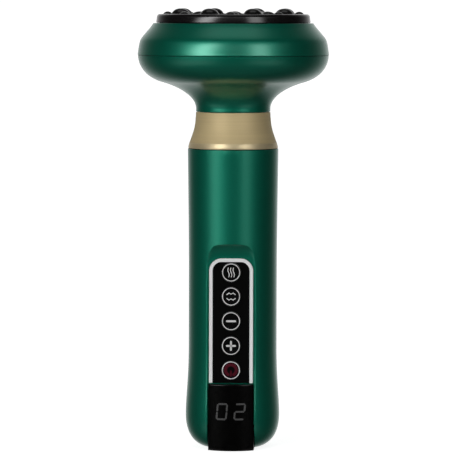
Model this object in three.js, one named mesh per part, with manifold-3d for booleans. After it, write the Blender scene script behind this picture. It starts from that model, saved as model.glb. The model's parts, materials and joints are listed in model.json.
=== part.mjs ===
// Handheld electric cupping massager: a round massage head on a straight grip.
// Millimetres, +Z up. It stands on its foot at z = 0, under the grip's axis, and its keys face -Y.

import * as THREE from 'three';
import { mergeVertices } from 'three/addons/utils/BufferGeometryUtils.js';
import Module from 'manifold-3d';

const wasm = await Module();
wasm.setup();

// Clearances, and how far a cutting tool runs past the face that it cuts
const gap = 0.3;
const fit = 0.2;
const overrun = 3;
const mergeDistance = 1e-4;

// Facets round a piece, and steps along a curve
const fineSides = 64;
const bigSides = 32;
const midSides = 18;
const keySides = 16;
const smallSides = 10;
const tinySides = 6;
const curveSteps = 4;
const studSteps = 2;

// The sizes that drive the rest
const gripHeight = 140;
const gripRadius = 21;
const headRadius = 45;

// Grip: two half shells, slim in the middle, with a bulge above a rounded foot
const gripWall = 2.2;
const gripTopSwell = 0.4;
const bulgeSwell = 1.2;
const footShare = 0.5;
const gripHeightShares = { bulge: 0.1186, low: 0.305, high: 0.6336, flare: 0.8764 };
const footCurveShares = [0.58, 0.7];
const flareCurveShares = [0.28, 0.47];
const taperCurveShares = [0.35, 0.3];

// Neck joint: a flange on the head's neck tube is caught between two ribs in the grip
const neckTubeInset = 2.1;
const neckTubeWall = 2;
const flangeReach = 2.2;
const flangeThickness = 2;
const ribThickness = 1.9;
const spigotWall = 2.7;
const spigotHeight = 2.8;

// Gold collar
const collarHeight = 16.4;
const collarTaper = 3.7;
const collarWaistInset = 2.1;
const collarLipHeight = 1.8;
const collarFlareHeight = 4.2;
const collarCurveShares = [0.2, 0.65];

// Head: a lower bowl that runs into the neck, and an upper bowl with a sloping shoulder
const headWall = 2.2;
const bowlHeight = 25.9;
const seamStep = 0.25;
const undersideShares = { across: 0.731, along: 0.556 };
const neckCurveShares = [0.53, 0.36, 0.83];
const bowlCurveShares = [0.44, 0.12, 0.53];
const dishHeight = 15.5;
const creaseShares = { across: 0.9644, along: 0.516 };
const shoulderShare = 0.831;
const sideCurveShares = [0.58, 0.84];
const slopeCurveShares = [0.24, 0.21, 0.55, 0.59];
const lipDepth = 2.4;
const lipThickness = 1.3;

// Black rim, its seal and the massage plate
const shelfThickness = 2;
const rimInset = 1.2;
const rimHeight = 2.9;
const rimEdge = 0.8;
const sealWidth = 1.4;
const sealHeight = 0.8;
const lipInset = 0.9;
const lipHeight = 0.95;
const lipWidth = 1.5;
const lipEdge = 0.3;
const dishedDepth = 0.6;
const plateBodyInset = 2.6;
const plateThickness = 2;
const plateSkirtHeight = 5.2;
const plateSkirtWall = 1.8;

// Massage face: eight domes, with low bumps inside their ring and nubs outside it
const faceCount = 8;
const faceRingShares = { dome: 0.797, bump: 0.4862, nub: 0.939 };
const domeRadius = 3.95;
const domeProud = 2.6;
const domeCurveShares = [0.55, 0.5];
const domeStemRadius = 1.8;
const domeStemLength = 1.7;
const bumpRadius = 3.5;
const bumpProud = 1.1;
const nubRadius = 1.65;
const nubProud = 0.9;

// Suction filter in the middle of the plate
const filterRadius = 4.8;
const filterFlange = 1.5;
const filterFlangeHeight = 0.6;
const filterHoleRadius = 0.8;
const filterHoleRing = 2.9;
const filterHoleCount = 6;

// Heating ring and vacuum chamber under the plate
const heaterInnerRadius = 15;
const heaterThickness = 1.4;
const chamberRadius = 13;
const chamberWall = 1.6;
const chamberHeight = 9.6;
const nippleRadius = 1.6;
const nippleBore = 0.8;
const nippleLength = 4.5;

// Hoses that push onto the nipples
const hoseBore = 1.9;
const hoseRadius = 2.9;
const hoseSides = 4;
const hoseSteps = 10;

// Release valve in a socket of the lower bowl
const valvePlaceShare = 0.5778;
const valveHeightShare = 0.529;
const plungerLengthShare = 0.5255;
const valveRadius = 6.5;
const valveCrown = 2.3;
const valveBore = 2.4;
const springWall = 0.8;
const socketWall = 1.7;
const socketDepth = 4;
const socketFloorRise = 1.6;
const valveNippleLength = 3;

// Screws that hold the two bowls together
const headScrewCount = 3;
const headScrewInset = 14;
const headScrewTurn = Math.PI / 2;
const screwShank = 1.2;
const screwHead = 2.5;
const screwHeadHeight = 1.5;
const headScrewLength = 12;
const bossRadius = 3.2;
const lugWidth = 8;
const lugHeight = 3;

// Recess for the keys and the display
const slotShare = 0.519;
const slotStep = 0.6;
const slotCorner = 4;
const scoopShare = 0.551;
const scoopSteps = 6;
const seatDepth = 1.3;
const seatWall = 1.4;
const slabReach = 2;

// Display window, key panel and silver frame
const windowHeightShare = 0.22;
const windowInset = 0.1;
const windowWall = 1.6;
const windowCorner = 1.2;
const pocketMargin = 0.5;
const headroomShare = 0.6037;
const frameCorner = 5.8;
const frameBand = 1.85;
const frameProud = 0.4;
const plateBase = 0.7;
const keyOpeningMargin = 0.9;

// Five keys, and the switches behind them
const keyNames = ['power', 'plus', 'minus', 'mode', 'heat'];
const keyPitchShare = 0.08164;
const keyShares = { first: 0.56, across: 0.3937, rim: 0.0875 };
const keyFit = 0.15;
const keyProud = 0.5;
const keyFlangeThickness = 0.6;
const keyStemRadius = 2;
const keyStemLength = 0.5;
const switchSize = 6;
const switchHeight = 3.4;
const switchPlungerRadius = 1.7;
const switchPlungerProud = 0.7;
const switchPlungerSunk = 0.8;
const switchBoreDepth = 1.6;

// Display module, main board and charge socket
const moduleShares = { across: 0.357, along: 0.52, middle: 0.5877 };
const moduleFrontInset = 3.5;
const boardShare = 0.476;
const boardThickness = 1.6;
const boardTopMargin = 4.6;
const socketHalfWidth = 4.47;
const socketThickness = 3.2;
const socketHeight = 7.4;
const socketShell = 0.35;
const socketTongue = 0.7;
const socketRecess = 0.6;
const socketBoreDepth = 6;

// Foot with the charging inlet, and its two screws
const footFlangeReach = 2;
const footFlangeThickness = 1.5;
const tongueHeight = 6.9;
const footScrewShares = { x: 0.2857, y: 0.1714 };
const footScrewLength = 10;
const footScrewSunk = 0.5;
const footBossRadius = 2.6;

// Inner frame, battery cell and the ribs that cradle it
const webThickness = 1.6;
const boardBossHeight = 1.6;
const boardBossRadius = 2;
const discThickness = 2;
const lowDiscZ = 10.4;
const cellShares = { across: 0.438, along: 0.4643 };
const cellHeadroom = 1.8;
const cellCapRadius = 3;
const cellCapHeight = 0.9;
const cradleThickness = 2;
const cradleShares = [0.15, 0.5, 0.85];
const standShare = 0.524;
const standWall = 3;

// Vacuum pump: can, rotor, crank housing, diaphragm, head and foam sleeve
const canShares = { across: 0.581, along: 0.2 };
const canWall = 2.8;
const canFloor = 1.4;
const shaftRadius = 1;
const armatureGap = 0.5;
const armatureShares = { start: 0.161, along: 0.643 };
const pumpShares = { across: 0.619, crankHouse: 0.0714 };
const crankHouseWall = 1.5;
const crankRadius = 4.2;
const crankOffset = 1.2;
const crankThickness = 2.4;
const crankPinRadius = 0.8;
const crankPinOffset = 2.4;
const crankPinLength = 1.8;
const diaphragmThickness = 1.2;
const cupCount = 3;
const cupShares = { across: 0.2, ring: 0.585 };
const cupDepth = 1.6;
const pumpHeadHeight = 4.6;
const plenumDepth = 1.4;
const plenumWall = 2.6;
const pumpNozzleLength = 6;
const sleeveShare = 0.5;
const sleeveMargin = 2.6;

// Radii and lengths that follow from the sizes above

const gripTopRadius = gripRadius + gripTopSwell;
const bulgeRadius = gripRadius + bulgeSwell;
const footRadius = gripRadius * footShare;
const bulgeZ = gripHeight * gripHeightShares.bulge;
const gripLowZ = gripHeight * gripHeightShares.low;
const gripHighZ = gripHeight * gripHeightShares.high;
const gripFlareZ = gripHeight * gripHeightShares.flare;
const collarTopRadius = gripTopRadius - collarTaper;
const collarWaistRadius = gripTopRadius - collarWaistInset;
const neckTubeRadius = collarTopRadius - neckTubeInset;
const neckTubeBore = neckTubeRadius - neckTubeWall;

const bowlRadius = headRadius - seamStep;
const undersideRadius = headRadius * undersideShares.across;
const undersideRise = bowlHeight * undersideShares.along;
const creaseRadius = headRadius * creaseShares.across;
const creaseRise = dishHeight * creaseShares.along;
const shoulderRadius = headRadius * shoulderShare;
const rimRadius = shoulderRadius - rimInset;
const lipRadius = rimRadius - lipInset;
const plateBodyRadius = lipRadius - plateBodyInset;
const domeRingRadius = plateBodyRadius * faceRingShares.dome;
const bumpRingRadius = plateBodyRadius * faceRingShares.bump;
const nubRingRadius = plateBodyRadius * faceRingShares.nub;
const headScrewRing = headRadius - headScrewInset;
const valveX = headRadius * valvePlaceShare;
const valveHeight = bowlHeight * valveHeightShare;
const plungerLength = valveHeight * plungerLengthShare;
const plungerRadius = valveBore - fit;

const slotHalfWidth = gripRadius * slotShare;
const windowHalfWidth = slotHalfWidth - gap;
const frameHalfWidth = windowHalfWidth - gap;
const windowRadius = gripRadius - windowInset;
const windowHeight = gripHeight * windowHeightShare;
const keyPitch = gripHeight * keyPitchShare;
const firstKeyRise = keyPitch * keyShares.first;
const keyRadius = keyPitch * keyShares.across;
const keyFlange = keyPitch * keyShares.rim;
const panelHeadroom = keyPitch * headroomShare;
const scoopRise = keyPitch * scoopShare;
const moduleHalfWidth = gripRadius * moduleShares.across;
const moduleHeight = windowHeight * moduleShares.along;
const moduleCentreZ = windowHeight * moduleShares.middle;
const boardHalfWidth = gripRadius * boardShare;
const footScrewX = gripRadius * footScrewShares.x;
const footScrewY = gripRadius * footScrewShares.y;
const cellRadius = gripRadius * cellShares.across;
const cellLength = gripHeight * cellShares.along;
const standRadius = gripRadius * standShare;

const canRadius = gripRadius * canShares.across;
const canHeight = gripHeight * canShares.along;
const armatureRadius = canRadius - canWall - armatureGap;
const armatureRise = canHeight * armatureShares.start;
const armatureLength = canHeight * armatureShares.along;
const pumpRadius = gripRadius * pumpShares.across;
const crankHouseHeight = gripHeight * pumpShares.crankHouse;
const cupRadius = pumpRadius * cupShares.across;
const cupRingRadius = pumpRadius * cupShares.ring;
const sleeveHeight = canHeight * sleeveShare;

// Heights and depths that follow

const collarZ = gripHeight + gap;
const collarWaistZ = collarZ + collarLipHeight + collarFlareHeight;
const collarTopZ = collarZ + collarHeight;
const neckZ = collarTopZ + gap;
const undersideZ = neckZ + undersideRise;
const socketFloorZ = undersideZ + socketFloorRise;
const seamZ = neckZ + bowlHeight;
const dishZ = seamZ + gap;
const creaseZ = dishZ + creaseRise;
const lugZ = dishZ + gap;
const shoulderZ = dishZ + dishHeight;
const rimZ = shoulderZ + gap;
const rimTopZ = rimZ + rimHeight;
const lipZ = rimTopZ + fit;
const faceZ = lipZ + lipHeight;
const floorZ = faceZ - dishedDepth;
const plateUnderZ = floorZ - plateThickness;
const chamberZ = plateUnderZ - fit - chamberHeight;
const sideNippleZ = chamberZ + chamberWall + nippleRadius + gap;

const panelFloorY = slotStep - Math.sqrt(gripRadius ** 2 - slotHalfWidth ** 2);
const seatY = panelFloorY + seatDepth;
const slabBackY = seatY + seatWall;
const plateBackY = seatY - fit;
const plateBaseY = plateBackY - plateBase;
const frameFrontY = panelFloorY - frameProud;
const keyFrontY = panelFloorY - keyProud;
const keyFlangeY = plateBackY + fit;
const keyStemY = keyFlangeY + keyFlangeThickness;
const keyEndY = keyStemY + keyStemLength;
const switchPlungerY = keyEndY + fit;
const switchFrontY = switchPlungerY + switchPlungerProud;
const switchBackY = switchFrontY + switchHeight;
const boardFrontY = switchBackY + fit;
const boardBackY = boardFrontY + boardThickness;
const webFrontY = boardBackY + fit + boardBossHeight;
const webBackY = webFrontY + webThickness;
const cellY = webBackY + gap + cellRadius;
const socketY = boardBackY + fit + socketThickness / 2;

const plateLowZ = windowHeight + gap;
const firstKeyZ = windowHeight + firstKeyRise;
const lastKeyZ = firstKeyZ + (keyNames.length - 1) * keyPitch;
const panelTopZ = lastKeyZ + panelHeadroom;
const scoopTopZ = panelTopZ + scoopRise;
const boardTopZ = lastKeyZ + boardTopMargin;
const boardLowZ = tongueHeight + gap;
const lowDiscTopZ = lowDiscZ + discThickness;
const highDiscZ = lowDiscTopZ + gap + cellLength + cellHeadroom;
const highDiscTopZ = highDiscZ + discThickness;
const canZ = Math.max(boardTopZ, highDiscTopZ) + gap;
const crankHouseZ = canZ + canHeight + gap;
const crankZ = crankHouseZ + 2 * crankHouseWall;
const diaphragmZ = crankHouseZ + crankHouseHeight + fit;
const pumpHeadZ = diaphragmZ + diaphragmThickness + fit;
const pumpHeadTopZ = pumpHeadZ + pumpHeadHeight;
const flangeZ = gripHeight - 2 * ribThickness - gap - flangeThickness;
const valveZ = socketFloorZ + gap;
const valveTopZ = valveZ + valveHeight;
const valveBoreTopZ = valveTopZ - valveCrown;
const plungerTopZ = valveBoreTopZ - fit;
const plungerLowZ = plungerTopZ - plungerLength;

// Shapes: every function here returns a closed solid

function toSolid(geometry) {
  const bare = geometry.index ? geometry.toNonIndexed() : geometry.clone();
  bare.deleteAttribute('normal');
  bare.deleteAttribute('uv');
  const merged = mergeVertices(bare, mergeDistance);
  const corners = Array.from(merged.index.array);
  const faces = [];
  for (let i = 0; i < corners.length; i += 3) {
    const [a, b, c] = corners.slice(i, i + 3);
    if (a !== b && b !== c && a !== c) faces.push(a, b, c);
  }
  const mesh = new wasm.Mesh({
    numProp: 3,
    vertProperties: new Float32Array(merged.attributes.position.array),
    triVerts: new Uint32Array(faces),
  });
  mesh.merge();
  return new wasm.Manifold(mesh);
}

// Turns an outline of [radius, height] corners, listed anticlockwise, about the Z axis
function turned(outline, sides = bigSides) {
  const corners = outline.map(([radius, z]) => new THREE.Vector2(radius, z));
  const first = outline[0];
  const last = outline[outline.length - 1];
  const onAxis = first[0] === 0 && last[0] === 0;
  if (!onAxis) corners.push(corners[0].clone());
  const geometry = new THREE.LatheGeometry(corners, sides);
  return toSolid(geometry.rotateX(Math.PI / 2));
}

function cylinder(radius, lowZ, highZ, sides = midSides) {
  return turned([[0, lowZ], [radius, lowZ], [radius, highZ], [0, highZ]], sides);
}

function tube(innerRadius, outerRadius, lowZ, highZ, sides = midSides) {
  return turned(
    [[innerRadius, lowZ], [outerRadius, lowZ], [outerRadius, highZ], [innerRadius, highZ]],
    sides,
  );
}

function box(lowX, highX, lowY, highY, lowZ, highZ) {
  const geometry = new THREE.BoxGeometry(highX - lowX, highY - lowY, highZ - lowZ);
  geometry.translate((lowX + highX) / 2, (lowY + highY) / 2, (lowZ + highZ) / 2);
  return toSolid(geometry);
}

// Extrudes a shape drawn in X and Z from frontY back to backY
function frontPlate(shape, frontY, backY, steps = curveSteps) {
  const geometry = new THREE.ExtrudeGeometry(shape, {
    depth: backY - frontY,
    bevelEnabled: false,
    curveSegments: steps,
  });
  return toSolid(geometry.rotateX(Math.PI / 2).translate(0, backY, 0));
}

// A turned piece whose axis points along +Y, placed at x and z
function turnedBack(outline, x, z, sides) {
  return turned(outline, sides).rotate([-90, 0, 0]).translate([x, 0, z]);
}

// A rectangle in X and Z with rounded corners; each radius may be zero
function roundedShape(halfWidth, lowZ, highZ, lowCorner, highCorner) {
  const shape = new THREE.Shape();
  shape.moveTo(-halfWidth + lowCorner, lowZ);
  shape.lineTo(halfWidth - lowCorner, lowZ);
  if (lowCorner > 0) {
    shape.absarc(halfWidth - lowCorner, lowZ + lowCorner, lowCorner, -Math.PI / 2, 0);
  }
  shape.lineTo(halfWidth, highZ - highCorner);
  if (highCorner > 0) {
    shape.absarc(halfWidth - highCorner, highZ - highCorner, highCorner, 0, Math.PI / 2);
  }
  shape.lineTo(-halfWidth + highCorner, highZ);
  if (highCorner > 0) {
    shape.absarc(-halfWidth + highCorner, highZ - highCorner, highCorner, Math.PI / 2, Math.PI);
  }
  shape.lineTo(-halfWidth, lowZ + lowCorner);
  if (lowCorner > 0) {
    shape.absarc(-halfWidth + lowCorner, lowZ + lowCorner, lowCorner, Math.PI, 1.5 * Math.PI);
  }
  return shape;
}

// Joins rings of equally many corners into one closed solid
function loft(rings) {
  const count = rings[0].length;
  const positions = rings.flat().flatMap((corner) => [corner.x, corner.y, corner.z]);
  const index = [];
  for (let ring = 0; ring < rings.length - 1; ring += 1) {
    for (let i = 0; i < count; i += 1) {
      const a = ring * count + i;
      const b = ring * count + ((i + 1) % count);
      index.push(a, b, b + count, a, b + count, a + count);
    }
  }
  const flat = rings[0].map((corner) => new THREE.Vector2(corner.x, corner.z));
  const top = (rings.length - 1) * count;
  for (const [a, b, c] of THREE.ShapeUtils.triangulateShape(flat, [])) {
    index.push(a, c, b, top + a, top + b, top + c);
  }
  const geometry = new THREE.BufferGeometry();
  geometry.setAttribute('position', new THREE.Float32BufferAttribute(positions, 3));
  geometry.setIndex(index);
  return toSolid(geometry);
}

function rounded(path) {
  return path.getPoints(curveSteps).map((point) => [point.x, point.y]);
}

// Moves an open outline sideways by a wall, to the left of its direction of travel
function inset(outline, wall) {
  return outline.map(([radius, z], i) => {
    const before = outline[Math.max(i - 1, 0)];
    const after = outline[Math.min(i + 1, outline.length - 1)];
    const dr = after[0] - before[0];
    const dz = after[1] - before[1];
    const length = Math.hypot(dr, dz);
    return [radius - (wall * dz) / length, z + (wall * dr) / length];
  });
}

function radiusAt(outline, z) {
  for (let i = 1; i < outline.length; i += 1) {
    const [lowRadius, lowZ] = outline[i - 1];
    const [highRadius, highZ] = outline[i];
    if (highZ > lowZ && z >= lowZ && z <= highZ) {
      return lowRadius + ((highRadius - lowRadius) * (z - lowZ)) / (highZ - lowZ);
    }
  }
  return outline[outline.length - 1][0];
}

function between(low, high, share) {
  return low + (high - low) * share;
}

function union(solids) {
  return solids.reduce((sum, solid) => sum.add(solid));
}

function ringOf(count, turn, make) {
  return Array.from({ length: count }, (_, i) => make(turn + (i * 2 * Math.PI) / count));
}

// Outlines of the outside, from the bottom up

const gripOutline = rounded(new THREE.Path()
  .moveTo(footRadius, 0)
  .bezierCurveTo(
    between(footRadius, bulgeRadius, footCurveShares[0]), 0,
    bulgeRadius, between(bulgeZ, 0, footCurveShares[1]),
    bulgeRadius, bulgeZ,
  )
  .bezierCurveTo(
    bulgeRadius, between(bulgeZ, gripLowZ, flareCurveShares[0]),
    gripRadius, between(gripLowZ, bulgeZ, flareCurveShares[1]),
    gripRadius, gripLowZ,
  )
  .lineTo(gripRadius, gripHighZ)
  .bezierCurveTo(
    gripRadius, between(gripHighZ, gripFlareZ, taperCurveShares[0]),
    gripTopRadius, between(gripFlareZ, gripHighZ, taperCurveShares[1]),
    gripTopRadius, gripFlareZ,
  )
  .lineTo(gripTopRadius, gripHeight));

const collarOutline = rounded(new THREE.Path()
  .moveTo(gripTopRadius, collarZ)
  .lineTo(gripTopRadius, collarZ + collarLipHeight)
  .quadraticCurveTo(
    between(collarWaistRadius, gripTopRadius, collarCurveShares[0]),
    between(collarZ + collarLipHeight, collarWaistZ, collarCurveShares[1]),
    collarWaistRadius, collarWaistZ,
  )
  .bezierCurveTo(
    between(collarWaistRadius, collarTopRadius, collarCurveShares[1]),
    between(collarWaistZ, collarTopZ, collarCurveShares[0]),
    collarTopRadius, between(collarWaistZ, collarTopZ, collarCurveShares[1]),
    collarTopRadius, collarTopZ,
  ));

const bowlOutline = rounded(new THREE.Path()
  .moveTo(collarTopRadius, neckZ)
  .bezierCurveTo(
    collarTopRadius, between(neckZ, undersideZ, neckCurveShares[0]),
    between(collarTopRadius, undersideRadius, neckCurveShares[1]),
    between(neckZ, undersideZ, neckCurveShares[2]),
    undersideRadius, undersideZ,
  )
  .bezierCurveTo(
    between(undersideRadius, bowlRadius, bowlCurveShares[0]),
    between(undersideZ, seamZ, bowlCurveShares[1]),
    bowlRadius, between(undersideZ, seamZ, bowlCurveShares[2]),
    bowlRadius, seamZ,
  ));

const dishOutline = rounded(new THREE.Path()
  .moveTo(headRadius, dishZ)
  .bezierCurveTo(
    headRadius, between(dishZ, creaseZ, sideCurveShares[0]),
    between(creaseRadius, headRadius, sideCurveShares[0]),
    between(dishZ, creaseZ, sideCurveShares[1]),
    creaseRadius, creaseZ,
  )
  .bezierCurveTo(
    between(creaseRadius, shoulderRadius, slopeCurveShares[0]),
    between(creaseZ, shoulderZ, slopeCurveShares[1]),
    between(creaseRadius, shoulderRadius, slopeCurveShares[2]),
    between(creaseZ, shoulderZ, slopeCurveShares[3]),
    shoulderRadius, shoulderZ,
  ));

// Grip

const gripInside = inset(gripOutline, gripWall);

function innerRadius(z) {
  return radiusAt(gripInside, z);
}

// The grip filled up to the middle of its wall, which trims what stands on the wall inside
function gripCore() {
  return turned([[0, gripWall / 2], ...inset(gripOutline, gripWall / 2), [0, gripHeight]]);
}

function gripTube() {
  const ribRadius = neckTubeRadius + gap;
  const upperRibZ = gripHeight - ribThickness;
  const lowerRibTopZ = flangeZ - gap;
  const lowerRibZ = lowerRibTopZ - ribThickness;
  const inside = gripInside.filter(([radius, z]) => z > gripWall && z < lowerRibZ && radius > 0);
  const wallRadius = gripTopRadius - gripWall;
  return turned([
    [footRadius, 0],
    ...gripOutline.slice(1),
    [ribRadius + spigotWall, gripHeight],
    [ribRadius + spigotWall, gripHeight + spigotHeight],
    [ribRadius, gripHeight + spigotHeight],
    [ribRadius, upperRibZ],
    [wallRadius, upperRibZ],
    [wallRadius, lowerRibTopZ],
    [ribRadius, lowerRibTopZ],
    [ribRadius, lowerRibZ],
    [wallRadius, lowerRibZ],
    ...inside.reverse(),
    [footRadius + fit, gripWall],
    [footRadius, gripWall],
  ]);
}

// The space of the recess: flat floor, upright sides and a scooped top end
function recessTool() {
  const rings = [];
  const depth = gripRadius + panelFloorY;
  for (let step = 0; step <= scoopSteps; step += 1) {
    const angle = (step / scoopSteps) * (Math.PI / 2);
    const y = panelFloorY - depth * (1 - Math.cos(angle));
    const topZ = panelTopZ + scoopRise * Math.sin(angle);
    const shape = roundedShape(slotHalfWidth, -overrun, topZ, 0, slotCorner);
    rings.push(shape.getPoints(curveSteps).map((point) => new THREE.Vector3(point.x, y, point.y)));
  }
  rings.push(rings[rings.length - 1].map((corner) => corner.clone().setY(corner.y - overrun)));
  return loft(rings);
}

function panelShape(margin) {
  return roundedShape(
    frameHalfWidth + margin, plateLowZ - margin, panelTopZ + margin, 0, frameCorner + margin,
  );
}

function makeGripFront() {
  const slabHalfWidth = slotHalfWidth + slabReach;
  const slab = box(
    -slabHalfWidth, slabHalfWidth, -gripRadius, slabBackY, 0, scoopTopZ + slabReach,
  );
  const seat = frontPlate(panelShape(fit), panelFloorY - overrun, seatY);
  const keyHalfWidth = keyRadius + keyFlange + keyOpeningMargin;
  const keyOpening = frontPlate(
    roundedShape(keyHalfWidth, firstKeyZ - keyHalfWidth, lastKeyZ + keyHalfWidth, 0, 0),
    seatY - overrun,
    slabBackY + overrun,
  );
  const moduleOpening = box(
    -moduleHalfWidth - gap, moduleHalfWidth + gap,
    panelFloorY - overrun, slabBackY + overrun,
    moduleCentreZ - moduleHeight / 2 - gap, moduleCentreZ + moduleHeight / 2 + gap,
  );
  const footCut = box(
    -windowHalfWidth - gap, windowHalfWidth + gap,
    -bulgeRadius - overrun, gap, -overrun, tongueHeight + gap,
  );
  const frontHalf = box(
    -bulgeRadius * 2, bulgeRadius * 2, -bulgeRadius * 2, -gap / 2, -overrun, gripHeight + collarHeight,
  );
  return gripTube()
    .add(slab.intersect(gripCore()))
    .intersect(frontHalf)
    .subtract(recessTool())
    .subtract(seat)
    .subtract(keyOpening)
    .subtract(moduleOpening)
    .subtract(footCut);
}

function makeGripBack() {
  const backHalf = box(
    -bulgeRadius * 2, bulgeRadius * 2, gap / 2, bulgeRadius * 2, -overrun, gripHeight + collarHeight,
  );
  const cellZ = lowDiscTopZ + gap;
  const cradles = cradleShares.map((share) => {
    const z = between(cellZ, cellZ + cellLength, share);
    return cylinder(gripRadius, z, z + cradleThickness, bigSides)
      .intersect(box(-gripRadius, gripRadius, cellY, gripRadius, z - gap, z + cradleThickness + gap))
      .subtract(cylinder(cellRadius + gap, z - gap, z + cradleThickness + gap).translate([0, cellY, 0]));
  });
  return union([gripTube(), ...cradles.map((cradle) => cradle.intersect(gripCore()))])
    .intersect(backHalf);
}

// Foot

function socketSpace(margin, lowZ, highZ) {
  const half = socketThickness / 2 + margin;
  return box(
    -socketHalfWidth - margin, socketHalfWidth + margin, socketY - half, socketY + half, lowZ, highZ,
  );
}

function footScrewPlaces() {
  return [-footScrewX, footScrewX].map((x) => [x, footScrewY, 0]);
}

function makeFoot() {
  const flangeLowZ = gripWall + 2 * gap;
  const flangeTopZ = flangeLowZ + footFlangeThickness;
  const disc = turned([
    [0, 0],
    [footRadius - gap, 0],
    [footRadius - gap, flangeLowZ],
    [footRadius + footFlangeReach, flangeLowZ],
    [footRadius + footFlangeReach, flangeTopZ],
    [0, flangeTopZ],
  ]);
  const tongue = box(
    -windowHalfWidth, windowHalfWidth, panelFloorY + fit, -gap, 0, tongueHeight,
  );
  const screwHoles = footScrewPlaces().map((place) => cylinder(
    screwShank + fit, -overrun, flangeTopZ + overrun, smallSides,
  ).add(cylinder(
    screwHead + fit, -overrun, footScrewSunk + screwHeadHeight, smallSides,
  )).translate(place));
  return disc.add(tongue)
    .subtract(socketSpace(gap, -overrun, tongueHeight + overrun))
    .subtract(union(screwHoles));
}

function makeChargeSocket() {
  const topZ = socketRecess + socketHeight;
  const bore = socketSpace(-socketShell, socketRecess - overrun, socketRecess + socketBoreDepth);
  const tongue = box(
    -socketHalfWidth + 2 * socketShell + fit, socketHalfWidth - 2 * socketShell - fit,
    socketY - socketTongue / 2, socketY + socketTongue / 2,
    socketRecess + socketShell, topZ - socketShell,
  );
  return socketSpace(0, socketRecess, topZ).subtract(bore).add(tongue);
}

// Panel

function makePanelFrame() {
  const shape = panelShape(0);
  const innerCorner = frameCorner - frameBand;
  const opening = roundedShape(
    frameHalfWidth - frameBand, plateLowZ - overrun, panelTopZ - frameBand, 0, innerCorner,
  );
  return frontPlate(shape, frameFrontY, plateBaseY - fit)
    .subtract(frontPlate(opening, frameFrontY - overrun, plateBaseY + overrun));
}

function keyHeights() {
  return keyNames.map((name, i) => firstKeyZ + i * keyPitch);
}

function makePanelPlate() {
  const raised = roundedShape(
    frameHalfWidth - frameBand - fit, plateLowZ, panelTopZ - frameBand - fit,
    0, frameCorner - frameBand - fit,
  );
  const holes = keyHeights().map((z) => turnedBack(
    [[0, panelFloorY - overrun], [keyRadius + keyFit, panelFloorY - overrun],
      [keyRadius + keyFit, slabBackY], [0, slabBackY]],
    0, z, keySides,
  ));
  return frontPlate(panelShape(0), plateBaseY, plateBackY)
    .add(frontPlate(raised, panelFloorY, plateBackY))
    .subtract(union(holes));
}

function makeKey(z) {
  return turnedBack([
    [0, keyFrontY],
    [keyRadius, keyFrontY],
    [keyRadius, keyFlangeY],
    [keyRadius + keyFlange, keyFlangeY],
    [keyRadius + keyFlange, keyStemY],
    [keyStemRadius, keyStemY],
    [keyStemRadius, keyEndY],
    [0, keyEndY],
  ], 0, z, keySides);
}

function makeSwitchBody(z) {
  const half = switchSize / 2;
  const bore = turnedBack([
    [0, switchFrontY - overrun],
    [switchPlungerRadius + fit, switchFrontY - overrun],
    [switchPlungerRadius + fit, switchFrontY + switchBoreDepth],
    [0, switchFrontY + switchBoreDepth],
  ], 0, z, smallSides);
  return box(-half, half, switchFrontY, switchBackY, z - half, z + half).subtract(bore);
}

function makeSwitchPlunger(z) {
  return turnedBack([
    [0, switchPlungerY],
    [switchPlungerRadius, switchPlungerY],
    [switchPlungerRadius, switchFrontY + switchPlungerSunk],
    [0, switchFrontY + switchPlungerSunk],
  ], 0, z, smallSides);
}

function makeDisplayWindow() {
  const strip = frontPlate(
    roundedShape(windowHalfWidth, 0, windowHeight, windowCorner, windowCorner / 2),
    -gripRadius - overrun,
    panelFloorY - fit,
  );
  const pocket = cylinder(windowRadius - windowWall, -overrun, windowHeight + overrun, fineSides)
    .intersect(box(
      -moduleHalfWidth - pocketMargin, moduleHalfWidth + pocketMargin,
      -gripRadius, panelFloorY + overrun,
      moduleCentreZ - moduleHeight / 2 - gap, moduleCentreZ + moduleHeight / 2 + gap,
    ));
  const bulge = cylinder(windowRadius, -overrun, windowHeight + overrun, fineSides);
  return strip.intersect(bulge).subtract(pocket);
}

// Electronics and inner frame

function makeDisplayModule() {
  return box(
    -moduleHalfWidth, moduleHalfWidth,
    moduleFrontInset - windowRadius, boardFrontY - fit,
    moduleCentreZ - moduleHeight / 2, moduleCentreZ + moduleHeight / 2,
  );
}

function makeMainBoard() {
  return box(-boardHalfWidth, boardHalfWidth, boardFrontY, boardBackY, boardLowZ, boardTopZ);
}

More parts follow.
